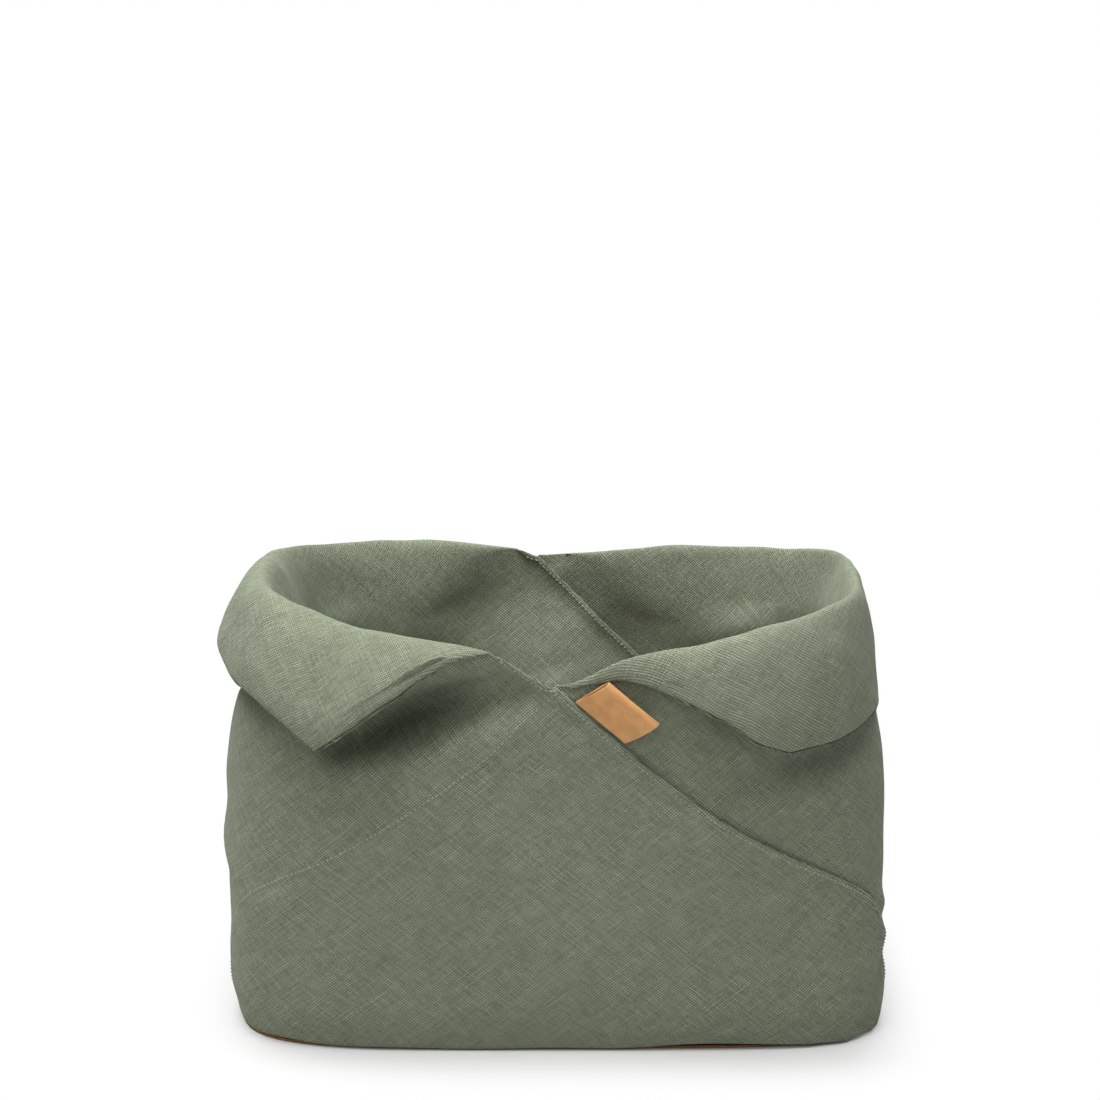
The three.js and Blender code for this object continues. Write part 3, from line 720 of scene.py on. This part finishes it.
def build_ear(panel, stations, tip, columns):
    """The cloth above the rim: it turns over the fold and hangs outside the wall."""
    order = np.arange(len(stations), dtype=float)
    angle = fold_angles(stations, columns)
    before, after = slice(0, tip + 1), slice(tip, None)
    values = []
    for column in (1, 2, 3):
        data = np.array([row[column] for row in stations], float)
        first = smooth_curve(order[before], data[before])(columns)
        second = smooth_curve(order[after], data[after])(columns)
        values.append(np.where(columns <= tip, first, second))
    hem_angle, drop, off = values
    nearby = bell(columns[:, None] - columns[None, :], EAR_SOFTNESS) * np.gradient(columns)[None]
    nearby = nearby / nearby.sum(1, keepdims=True)
    top = rim_height(angle)
    low, rolled = rolled_top(panel, angle)
    three = np.full(len(angle), 3.0)
    normal, low_normal = wall_normal(angle, three, top), wall_normal(angle, three, low)
    outward, aside = levelled(normal), levelled(low_normal)
    layer = panel_layer(panel, angle)[:, None]
    rim = wall_point(angle, three, top) + normal * layer

    def wall_end(height):
        place = wall_point(angle, three, height) + low_normal * layer
        return place + aside * flare(panel, angle, height)[:, None]

    fold = wall_end(low)
    lean = unit(fold - wall_end(low - EAR_LEAN_REACH))
    step, hem_top = step_at(hem_angle, top - EAR_DROP * drop)
    standoff = panel_layer(panel, hem_angle) + EAR_STANDOFF * off
    hem = wall_point(hem_angle, step, hem_top) + wall_normal(hem_angle, step, hem_top) * standoff[:, None]
    length = np.linalg.norm(hem - rim, axis=1)
    full = np.clip(length / EAR_FULL_LENGTH, 0, 1)[:, None]
    up = np.array([0.0, 0.0, 1.0])
    lift = FOLD_LIFT * full + ROLL_LIFT * rolled[:, None]
    rise = fold + unit(lean + EAR_LEAN_UP * up) * lift + outward * FOLD_OUT * full
    bulge = EAR_BULGE * mix(EAR_SIDE_BULGE, 1, np.abs(outward[:, 1:2]))
    fall = hem + up * (EAR_FALL * length)[:, None] + outward * bulge * full
    # the corner of the ear stays flat: only the hem itself turns sharply there
    flat = smoothstep((length - EAR_FLAT_START) / EAR_FLAT_FADE)
    fall = mix(fall, nearby @ fall, flat[:, None])
    t = EAR_ROWS[:, None, None]
    middle = ((1 - t) ** 3 * fold + 3 * (1 - t) ** 2 * t * rise + 3 * (1 - t) * t**2 * fall + t**3 * hem)
    if angle[0] > angle[-1]:
        middle, angle, length = middle[:, ::-1], angle[::-1], length[::-1]
    run = np.concatenate([np.zeros((1, len(angle))), np.cumsum(
        np.linalg.norm(np.diff(middle, axis=0), axis=-1), axis=0)])
    face = grid_normals(middle)
    loose = smoothstep(run / EAR_SWELL_FADE) * smoothstep(length[None] / EAR_SWELL_LENGTH)
    middle = middle + face * (swell_of(middle, EAR_SWELLS) * loose)[..., None]
    face = grid_normals(middle)
    to_hem = run[-1:] - run
    hemmed = smoothstep((HEM_WIDTH - to_hem) / HEM_FADE) * smoothstep(length[None] / EAR_HEM_LENGTH)
    thick = CLOTH + EAR_HEM_EXTRA * hemmed
    thick = thick * mix(EDGE_THIN, 1, smoothstep(to_hem / EAR_EDGE_FADE + EAR_EDGE_START))
    half = face * (thick / 2)[..., None]
    top_rise = cloth_rise(3.0, rolled_top(panel, angle)[0])
    weave = weave_coordinates(np.repeat(round_length(angle)[None], len(run), 0), top_rise[None] + run)
    return {"middle": middle, "outside": middle + half, "inside": middle - half, "face": face, "weave": weave,
            "length": length}


def laid_on(piece, points, outward, lift):
    """Points moved along their outward way onto the outer face of a piece."""
    mesh = piece.data
    corners = [tuple(v.co) for v in mesh.vertices]
    tree = BVHTree.FromPolygons(corners, [tuple(f.vertices) for f in mesh.polygons])
    laid = []
    for point, way in zip(points * MM, outward):
        way = Vector(way)
        place, normal, _, _ = tree.ray_cast(Vector(point) + LAY_REACH * way, -way, 2 * LAY_REACH)
        if place is not None and place.z > FOOT_CLEAR * MM:
            laid.append((place + normal * lift * MM) / MM)
    return np.array(laid)


class Nodes:
    """Short way to put nodes into a tree. What feeds an input is a value or another node's output."""

    def __init__(self, tree):
        self.tree = tree
        tree.nodes.clear()

    def feed(self, socket, value):
        if isinstance(value, bpy.types.NodeSocket):
            self.tree.links.new(value, socket)
        else:
            socket.default_value = value

    def add(self, kind, feeds=(), **settings):
        node = self.tree.nodes.new(kind)
        for key, value in settings.items():
            setattr(node, key, value)
        for key, value in dict(feeds).items():
            self.feed(node.inputs[key], value)
        return node

    def math(self, operation, *values):
        return self.add("ShaderNodeMath", enumerate(values), operation=operation).outputs[0]

    def vector(self, *values):
        return self.add("ShaderNodeCombineXYZ", enumerate(values)).outputs[0]

    def noise(self, vector, scale=1.0, detail=2.0, roughness=0.5):
        feeds = {"Vector": vector, "Scale": scale, "Detail": detail, "Roughness": roughness}
        return self.add("ShaderNodeTexNoise", feeds).outputs[0]

    def ramp(self, value, low, high, to_low=0.0, to_high=1.0):
        feeds = enumerate((value, low, high, to_low, to_high))
        return self.add("ShaderNodeMapRange", feeds, interpolation_type="SMOOTHSTEP").outputs[0]

    def blend_colours(self, share, a, b):
        return self.add("ShaderNodeMix", {0: share, 6: a, 7: b}, data_type="RGBA").outputs[2]

    def bump(self, height, distance, strength):
        feeds = {"Strength": strength, "Distance": distance, "Height": height}
        return self.add("ShaderNodeBump", feeds).outputs[0]

    def blend_shaders(self, share, a, b):
        return self.add("ShaderNodeMixShader", enumerate((share, a, b))).outputs[0]

    def seen(self):
        """1 for what the camera or a reflection shows, 0 for light on its way."""
        path = self.add("ShaderNodeLightPath").outputs
        return self.math("MAXIMUM", path["Is Camera Ray"], path["Is Glossy Ray"])


class Surface(Nodes):
    """Material with one principled shader."""

    def __init__(self, name):
        self.material = bpy.data.materials.new(name)
        self.material.use_nodes = True
        super().__init__(self.material.node_tree)
        self.shader = self.add("ShaderNodeBsdfPrincipled")
        self.output = self.add("ShaderNodeOutputMaterial", {"Surface": self.shader.outputs[0]})

    def look(self, **values):
        for key, value in values.items():
            self.feed(self.shader.inputs[key.replace("_", " ")], value)
        return self.material


def stitch_tree():
    """Geometry nodes that set one small rounded stitch after another along a line."""
    tree = bpy.data.node_groups.new("stitches along a line", "GeometryNodeTree")

    def socket(name, kind, value=None, way="INPUT"):
        made = tree.interface.new_socket(name, in_out=way, socket_type="NodeSocket" + kind)
        if value is not None:
            made.default_value = value

    socket("Geometry", "Geometry")
    for name, value in (("Pitch", STITCH_PITCH), ("Length", STITCH_LENGTH), ("Radius", STITCH_RADIUS)):
        socket(name, "Float", value * MM)
    socket("Seed", "Int", STITCH_SEED)
    socket("Thread", "Material")
    socket("Geometry", "Geometry", way="OUTPUT")
    n = Nodes(tree)
    given = n.add("NodeGroupInput").outputs
    line = n.add("GeometryNodeResampleCurve", {"Curve": given["Geometry"], "Length": given["Pitch"]},
                 mode="LENGTH")
    stitch = n.add("GeometryNodeMeshUVSphere",
                   {"Segments": STITCH_SEGMENTS, "Rings": STITCH_RINGS, "Radius": 1})
    tangent = n.add("GeometryNodeInputTangent").outputs["Tangent"]
    turn = n.add("FunctionNodeAlignRotationToVector", {"Vector": tangent}, axis="Z")
    vary = n.add("FunctionNodeRandomValue", {2: STITCH_VARIES[0], 3: STITCH_VARIES[1], "Seed": given["Seed"]},
                 data_type="FLOAT").outputs[1]
    half = n.math("MULTIPLY", n.math("MULTIPLY", given["Length"], 0.5), vary)
    size = n.vector(given["Radius"], given["Radius"], half)
    made = n.add("GeometryNodeInstanceOnPoints", {
        "Points": line.outputs["Curve"], "Instance": stitch.outputs["Mesh"],
        "Rotation": turn.outputs["Rotation"], "Scale": size}).outputs["Instances"]
    for kind, feeds in (("RealizeInstances", {}), ("SetShadeSmooth", {}),
                        ("SetMaterial", {"Material": given["Thread"]})):
        made = n.add("GeometryNode" + kind, {"Geometry": made, **feeds}).outputs["Geometry"]
    n.add("NodeGroupOutput", {"Geometry": made})
    return tree


def stitches(name, lines, tree, thread):
    """Rows of stitches along lines of points in millimetres, as one plain mesh."""
    curve = bpy.data.curves.new(name + "_lines", "CURVE")
    curve.dimensions = "3D"
    for line in lines:
        spline = curve.splines.new("POLY")
        spline.points.add(len(line) - 1)
        values = np.concatenate([line * MM, np.ones((len(line), 1))], 1)
        spline.points.foreach_set("co", values.ravel())
    guide = new_object(name + "_guide", curve)
    modifier = guide.modifiers.new("stitches", "NODES")
    modifier.node_group = tree
    inputs = {item.name: item.identifier for item in tree.interface.items_tree if item.in_out == "INPUT"}
    modifier[inputs["Thread"]] = thread
    bpy.context.view_layer.update()
    graph = bpy.context.evaluated_depsgraph_get()
    mesh = bpy.data.meshes.new_from_object(guide.evaluated_get(graph), depsgraph=graph)
    mesh.name = name
    bpy.data.objects.remove(guide)
    return new_object(name, mesh)


def linen():
    """Plain-weave linen: uneven threads both ways, slubs, and a soft dry surface."""
    n = Surface("sage linen")
    parts = n.add("ShaderNodeSeparateXYZ", {0: n.add("ShaderNodeUVMap", uv_map="weave").outputs[0]}).outputs

    def patches(u, v, seed, detail=2.0, roughness=0.5):
        """Noise over the cloth. The inputs u and v are a coordinate and how finely it varies along it."""
        place = n.vector(n.math("MULTIPLY", *u), n.math("MULTIPLY", *v), seed)
        return n.noise(place, 1.0, detail, roughness)

    # threads wander a little
    wander = patches((parts[0], WANDER_FINE), (parts[1], WANDER_FINE), WANDER_SEED)
    wander = n.math("MULTIPLY", n.math("SUBTRACT", wander, 0.5), WANDER_REACH)
    along = n.math("ADD", parts[0], wander)
    across = n.math("SUBTRACT", parts[1], wander)

    def strand(place, run, seed):
        """Light and dark along the threads, their rare thick places, and the round of each thread."""
        shade = patches((place, STRAND_FINE[0]), (run, STRAND_FINE[1]), seed, 1.0)
        slub = patches((place, SLUB_FINE[0]), (run, SLUB_FINE[1]), seed + SLUB_SEED_STEP, 0.0)
        slub = n.ramp(slub, SLUB_FROM, SLUB_FULL)
        wave = n.math("SINE", n.math("MULTIPLY", place, 2 * math.pi / THREAD_PITCH))
        return shade, slub, wave, n.math("MULTIPLY", wave, n.ramp(shade, 0.3, 0.7, 0.15, 1.0))

    warp, warp_slub, warp_wave, warp_thread = strand(along, across, WARP_SEED)
    weft, weft_slub, weft_wave, weft_thread = strand(across, along, WEFT_SEED)
    grain = patches((along, GRAIN_FINE), (across, GRAIN_FINE), GRAIN_SEED, 1.0, 0.7)
    mottle = patches((along, MOTTLE_FINE), (across, MOTTLE_FINE), MOTTLE_SEED)
    cloud = patches((along, CLOUD_FINE), (across, CLOUD_FINE), CLOUD_SEED)
    threads = n.math("ADD", warp_thread, weft_thread)
    slubs = n.math("ADD", warp_slub, weft_slub)

    def part(value, middle, share):
        return n.math("MULTIPLY", n.math("SUBTRACT", value, middle), share)

    level = part(warp, 0.5, STRAND_LIGHT)
    for value, middle, share in (
            (weft, 0.5, STRAND_LIGHT), (grain, 0.5, GRAIN_LIGHT), (slubs, 0.06, SLUB_LIGHT),
            (cloud, 0.5, CLOUD_LIGHT), (mottle, 0.5, MOTTLE_LIGHT), (threads, 0.0, THREAD_LIGHT)):
        level = n.math("ADD", level, part(value, middle, share))
    level = n.math("MAXIMUM", n.math("ADD", level, LINEN_LIGHT), LINEN_DARKEST)
    tone = n.math("ADD", part(warp, 0.5, 1.2), part(grain, 0.2, 1.0))
    colour = n.blend_colours(n.ramp(tone, 0.0, 0.6), *LINEN)
    shaded = n.add("ShaderNodeVectorMath", {0: colour, "Scale": level}, operation="SCALE").outputs[0]
    height = n.math("MULTIPLY", n.math("ADD", warp_wave, weft_wave), THREAD_RELIEF)
    height = n.math("ADD", height, n.math("MULTIPLY", grain, GRAIN_RELIEF))
    height = n.math("ADD", height, n.math("MULTIPLY", slubs, SLUB_RELIEF))
    return n.look(Base_Color=shaded, Normal=n.bump(height, LINEN_RELIEF, 0.6), Roughness=0.9,
                  Specular_IOR_Level=0.2, Sheen_Weight=0.08, Sheen_Roughness=0.55,
                  Sheen_Tint=(0.8, 0.85, 0.72, 1))


def sewing_thread():
    n = Surface("sewing thread")
    speckle = n.noise(n.add("ShaderNodeTexCoord").outputs["Object"], THREAD_SPECKLE)
    colour = n.blend_colours(n.ramp(speckle, 0.3, 0.7), *THREAD)
    return n.look(Base_Color=colour, Normal=n.bump(speckle, 0.0001, 0.5), Roughness=0.75, Sheen_Weight=0.1)


def tan_paper(name, deep, pale):
    """Washed leather-like paper: mottled, with fine fibres and small dents."""
    n = Surface(name)
    place = n.add("ShaderNodeTexCoord").outputs["Object"]
    mottle = n.noise(place, PAPER_MOTTLE, 4.0, 0.6)
    stretched = n.add("ShaderNodeMapping", {
        "Vector": place, "Rotation": PAPER_FIBRE_TURN, "Scale": PAPER_FIBRE}).outputs[0]
    fibre = n.noise(stretched, 1.0, 3.0, 0.6)
    dents = n.noise(place, PAPER_DENTS)
    share = n.math("ADD", n.math("MULTIPLY", mottle, 0.65), n.math("MULTIPLY", fibre, 0.35))
    height = n.math("ADD", fibre, n.math("MULTIPLY", dents, 0.8))
    return n.look(Base_Color=n.blend_colours(n.ramp(share, 0.35, 0.65), deep, pale),
                  Normal=n.bump(height, 0.00012, 0.5), Roughness=n.ramp(mottle, 0.3, 0.7, 0.62, 0.8),
                  Specular_IOR_Level=0.3)


def base_board(material):
    """Thin board with rounded edges under the whole bag."""
    count = BOARD_COUNT
    angle = np.linspace(-180, 180, count, endpoint=False)
    # from the middle of a face to the edge: how far below the face, how far in from the edge
    edge = [(0, BOARD_FLAT_INSET), (0, BOARD_EDGE * 2), (0, BOARD_EDGE)]
    edge += [(BOARD_EDGE * (1 - math.cos(a)), BOARD_EDGE * (1 - math.sin(a))) for a in (0.5, 1.0, 1.57)]
    rings = [(BOARD_THICKNESS - depth, inset) for depth, inset in edge] + edge[::-1]
    points = []
    for height, inset in rings:
        ring = plan_point(angle, np.zeros(count), np.full(count, BOTTOM_TUCK - BOARD_LIP + inset))
        ring[:, 2] = height
        points.append(ring)
    faces = []
    for low in range(count, len(rings) * count, count):
        for i in range(count):
            j = (i + 1) % count
            faces.append((low + i, low + j, low - count + j, low - count + i))
    faces.append(tuple(range(count)))
    faces.append(tuple(reversed(range((len(rings) - 1) * count, len(rings) * count))))
    mesh = bpy.data.meshes.new("base_board_piece")
    mesh.from_pydata((np.concatenate(points) * MM).tolist(), [], faces)
    smooth = np.ones(len(faces), bool)
    smooth[-2:] = False
    mesh.polygons.foreach_set("use_smooth", smooth)
    mesh.materials.append(material)
    return new_object("base_board_piece", mesh)


def label(material):
    """Folded strip: both ends sit in the hem and the fold stands out as a flat loop."""
    half = LABEL_THICKNESS / 2
    loop = np.array([
        (0, half), (0.55 * LABEL_REACH, half), (LABEL_REACH - LABEL_LOOP / 2, half + 0.1 * LABEL_LOOP),
        (LABEL_REACH - half, half + 0.5 * LABEL_LOOP), (LABEL_REACH - LABEL_LOOP / 2, half + LABEL_LOOP),
        (0.5 * LABEL_REACH, half + LABEL_LOOP), (0, half + LABEL_THICKNESS + 0.5)])
    rows, columns = LABEL_ROWS, LABEL_COLUMNS
    fine = []
    for i in np.linspace(0, len(loop) - 1, columns):
        k = min(int(i), len(loop) - 2)
        t = i - k
        p0, p1 = loop[max(k - 1, 0)], loop[k]
        p2, p3 = loop[k + 1], loop[min(k + 2, len(loop) - 1)]
        fine.append(0.5 * (2 * p1 + (p2 - p0) * t + (2 * p0 - 5 * p1 + 4 * p2 - p3) * t * t
                           + (3 * p1 - p0 - 3 * p2 + p3) * t**3))
    fine = np.array(fine)
    along = unit(np.gradient(fine, axis=0))
    aside = np.stack([along[:, 1], -along[:, 0]], -1)
    first, second = LABEL_END_ROWS
    lengths = np.concatenate([[0, first], np.linspace(second, LABEL_LENGTH - second, rows - 4),
                              [LABEL_LENGTH - first, LABEL_LENGTH]])
    soft = np.minimum(1, np.minimum(np.arange(rows), np.arange(rows)[::-1]) + LABEL_END_SHARE)
    arch = LABEL_BOW * np.sin(math.pi * lengths / LABEL_LENGTH)[:, None]
    bow = arch * (fine[None, :, 0] / LABEL_REACH) ** 2
    frame_axes = np.array([LABEL_REACH_AXIS, LABEL_RISE_AXIS, LABEL_ALONG_AXIS])
    grids = []
    for sign in (1, -1):
        flat = fine[None] + sign * half * soft[:, None, None] * aside[None]
        local = np.stack([flat[..., 0], flat[..., 1] + bow, np.repeat(lengths[:, None], columns, 1)], -1)
        grids.append(local @ frame_axes + np.array(LABEL_ORIGIN))
    weave = np.stack(np.meshgrid(np.linspace(0, LABEL_STRIP, columns), lengths), -1)
    index = np.arange(rows * columns).reshape(rows, columns)
    border = np.concatenate([index[0], index[-1], index[:, 0], index[:, -1]])
    crisp = np.concatenate([border, border + rows * columns])
    return mesh_object("label_piece", [sheet_shell(grids[0], grids[1], weave)], material, crisp)


def stage():
    """Plain pale floor and backdrop, soft studio light and the camera."""
    scene = bpy.context.scene
    scene.view_settings.view_transform = "Standard"
    n = Surface("pale floor")
    n.look(Base_Color=(FLOOR_GREY, FLOOR_GREY, FLOOR_GREY, 1), Roughness=0.9, Specular_IOR_Level=0.1)
    # the shaded floor shows close to the bag, and plain white beyond
    place = n.add("ShaderNodeTexCoord").outputs["Object"]
    under = ((HALF_WIDTH - FLOOR_SHADE_INSET) * MM, HALF_DEPTH * MM, 0)
    for operation, feeds in (("ABSOLUTE", {}), ("SUBTRACT", {1: under}), ("MAXIMUM", {})):
        place = n.add("ShaderNodeVectorMath", {0: place, **feeds}, operation=operation).outputs[0]
    far = n.add("ShaderNodeVectorMath", {0: place}, operation="LENGTH").outputs["Value"]
    away = n.math("MULTIPLY", n.ramp(far, 0.0, FLOOR_SHADE), n.seen())
    white = n.add("ShaderNodeEmission").outputs[0]
    n.feed(n.output.inputs["Surface"], n.blend_shaders(away, n.shader.outputs[0], white))
    mesh = bpy.data.meshes.new("floor")
    corners = [(x * FLOOR_SIZE, y * FLOOR_SIZE, 0) for x, y in ((-1, -1), (1, -1), (1, 1), (-1, 1))]
    mesh.from_pydata(corners, [], [(0, 1, 2, 3)])
    mesh.materials.append(n.material)
    new_object("floor", mesh)

    world = bpy.data.worlds.new("studio")
    world.use_nodes = True
    n = Nodes(world.node_tree)
    white = n.add("ShaderNodeBackground", {"Color": (1, 1, 1, 1), "Strength": 1.0}).outputs[0]
    soft = n.add("ShaderNodeBackground", {"Color": (0.97, 0.985, 1, 1), "Strength": DOME_LIGHT}).outputs[0]
    n.add("ShaderNodeOutputWorld", {"Surface": n.blend_shaders(n.seen(), soft, white)})
    scene.world = world

    for name, place, size, power, tint in SOFTBOXES:
        lamp = bpy.data.lights.new(name, "AREA")
        lamp.shape = "RECTANGLE"
        lamp.size, lamp.size_y = size
        lamp.energy, lamp.color = power, tint
        thing = new_object(name, lamp)
        thing.location = place
        thing.rotation_euler = (Vector(LIGHT_AIM) - Vector(place)).to_track_quat("-Z", "Y").to_euler()

    camera = bpy.data.cameras.new("camera")
    camera.lens, camera.sensor_width = CAMERA_LENS, CAMERA_SENSOR
    thing = scene.camera = new_object("camera", camera)
    thing.location = CAMERA_PLACE
    thing.rotation_euler = (math.radians(CAMERA_PITCH), 0, 0)


def panel_piece(name, wall, hem, cloth):
    """A wall with the lip of its outer hem, from the crossing down."""
    below = slice(hem["crossing"] + LIP_SKIP, None)
    edge, into, normal, weave = (hem[key][below] for key in ("middle", "into", "face", "weave"))
    lip = hem_lip(edge, into, normal, LIP_DEPTH, weave)
    for side in lip[:2]:
        side[..., 2] = np.maximum(side[..., 2], LIP_FLOOR)
    shells = [sheet_shell(wall["outside"], wall["inside"], wall["weave"]), sheet_shell(*lip)]
    rows, columns = wall["outside"].shape[:2]
    rim = np.arange(columns) + (rows - 1) * columns
    return mesh_object(name, shells, cloth, np.concatenate([rim, rim + rows * columns]))


def ear_hem(ear, start):
    """Hem of an ear where it is longer than start: edge, way into the cloth, way out of its face."""
    keep = ear["length"] > start
    edge = ear["middle"][-1, keep]
    return keep, edge, into_cloth(edge, ear["middle"][-1 - EAR_HEM_INWARD, keep]), ear["face"][-1, keep]


def ear_piece(name, ear, cloth):
    """An ear with the lip of its hem."""
    keep, edge, into, normal = ear_hem(ear, EAR_LIP_START)
    share = smoothstep((ear["length"][keep] - EAR_LIP_START) / EAR_LIP_FADE)
    lip = hem_lip(edge, into, normal, EAR_LIP_DEPTH, ear["weave"][-1, keep],
                  past=EAR_LIP_REACH, share=share, spread=EAR_LIP_SPREAD)
    shells = [sheet_shell(ear["outside"], ear["inside"], ear["weave"]), sheet_shell(*lip)]
    rows, columns = ear["outside"].shape[:2]
    fold = np.arange(columns)
    return mesh_object(name, shells, cloth, np.concatenate([fold, fold + rows * columns]))


def hem_row(piece, hem, side, skip, lift):
    """Line for stitches along a hem, on the outer face (side 1) or the inner face (side -1) of a piece.
    It leaves out the first points, as many as skip says."""
    out = hem["face"] * side * (0.5 * CLOTH + 0.5 * HEM_EXTRA + REST_GAP)
    line = hem["middle"] + hem["into"] * STITCH_INSET + out
    return laid_on(piece, line[skip:], side * hem["face"][skip:], lift)


def base_row():
    """Line for the stitches that hold the flanges to the board."""
    angle = np.linspace(-180, 180, BASE_ROW_COUNT)
    line = plan_point(angle, np.zeros_like(angle), np.full_like(angle, BOTTOM_TUCK + FLANGE_WIDTH / 2))
    line[:, 2] = WALL_FOOT + LAYER + CLOTH / 2 + REST_GAP
    return line


def main():
    cloth = linen()
    thread = sewing_thread()
    board_paper = tan_paper("tan board", *BOARD_TAN)
    label_paper = tan_paper("tan label", *LABEL_TAN)
    tree = stitch_tree()

    left_angles = fold_angles(LEFT_EAR_STATIONS, LEFT_EAR_COLUMNS)
    right_angles = fold_angles(RIGHT_EAR_STATIONS, RIGHT_EAR_COLUMNS)
    left_wall = build_wall(LEFT, left_angles)
    right_wall = build_wall(RIGHT, right_angles)
    left_fold = build_ear(LEFT, LEFT_EAR_STATIONS, LEFT_EAR_TIP, LEFT_EAR_COLUMNS)
    right_fold = build_ear(RIGHT, RIGHT_EAR_STATIONS, RIGHT_EAR_TIP, RIGHT_EAR_COLUMNS)
    front_hem = hem_line(left_wall, "to", left_angles.max())
    back_inner_hem = hem_line(left_wall, "from", left_angles.min())
    back_hem = hem_line(right_wall, "to", right_angles.max())
    front_inner_hem = hem_line(right_wall, "from", right_angles.min())

    left_panel = panel_piece("left_panel_cloth", left_wall, front_hem, cloth)
    right_panel = panel_piece("right_panel_cloth", right_wall, back_hem, cloth)
    left_ear = ear_piece("left_ear_cloth", left_fold, cloth)
    right_ear = ear_piece("right_ear_cloth", right_fold, cloth)
    board = base_board(board_paper)
    tag = label(label_paper)
    stage()

    for piece, body, node, slot in (
            (left_panel, "bag", "left_panel", "linen"), (right_panel, "bag", "right_panel", "linen"),
            (board, "bag", "base_board", "tan_board"), (tag, "label", "label", "tan_label")):
        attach(piece, body)
        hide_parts(node)
    for side, piece, ramp in (("left", left_ear, LEFT_EAR_RAMP), ("right", right_ear, RIGHT_EAR_RAMP)):
        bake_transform(piece)
        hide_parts(side + "_collar", side + "_ear")

    sewn = {}
    rows = {
        "front_hem": [hem_row(left_panel, front_hem, side=1, skip=2, lift=HEM_STITCH_LIFT)],
        "back_hem": [hem_row(right_panel, back_hem, side=1, skip=2, lift=HEM_STITCH_LIFT)],
        "front_seam": [hem_row(left_panel, front_inner_hem, side=1, skip=4, lift=SEAM_STITCH_LIFT)],
        "back_seam": [hem_row(right_panel, back_inner_hem, side=1, skip=4, lift=SEAM_STITCH_LIFT),
                      hem_row(left_panel, back_inner_hem, side=-1, skip=2, lift=INNER_STITCH_LIFT)],
        "base": [base_row()],
    }
    for name, lines in rows.items():
        piece = sewn[name] = stitches(name + "_stitches", lines, tree, thread)
        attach(piece, "bag")
        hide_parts(name + "_thread")
    for side, ear, ramp in (("left", left_fold, LEFT_EAR_RAMP), ("right", right_fold, RIGHT_EAR_RAMP)):
        _, edge, into, normal = ear_hem(ear, EAR_STITCH_START)
        out = EAR_STITCH_LIFT + LIP_THICKNESS / 2 + EAR_STITCH_CURL * EAR_LIP_SPREAD
        line = edge + into * STITCH_INSET + normal * out
        name = side + "_ear"
        piece = sewn[name] = stitches(name + "_stitches", [line], tree, thread)
        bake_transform(piece)
        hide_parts(side + "_ear_thread", side + "_collar_thread")


main()
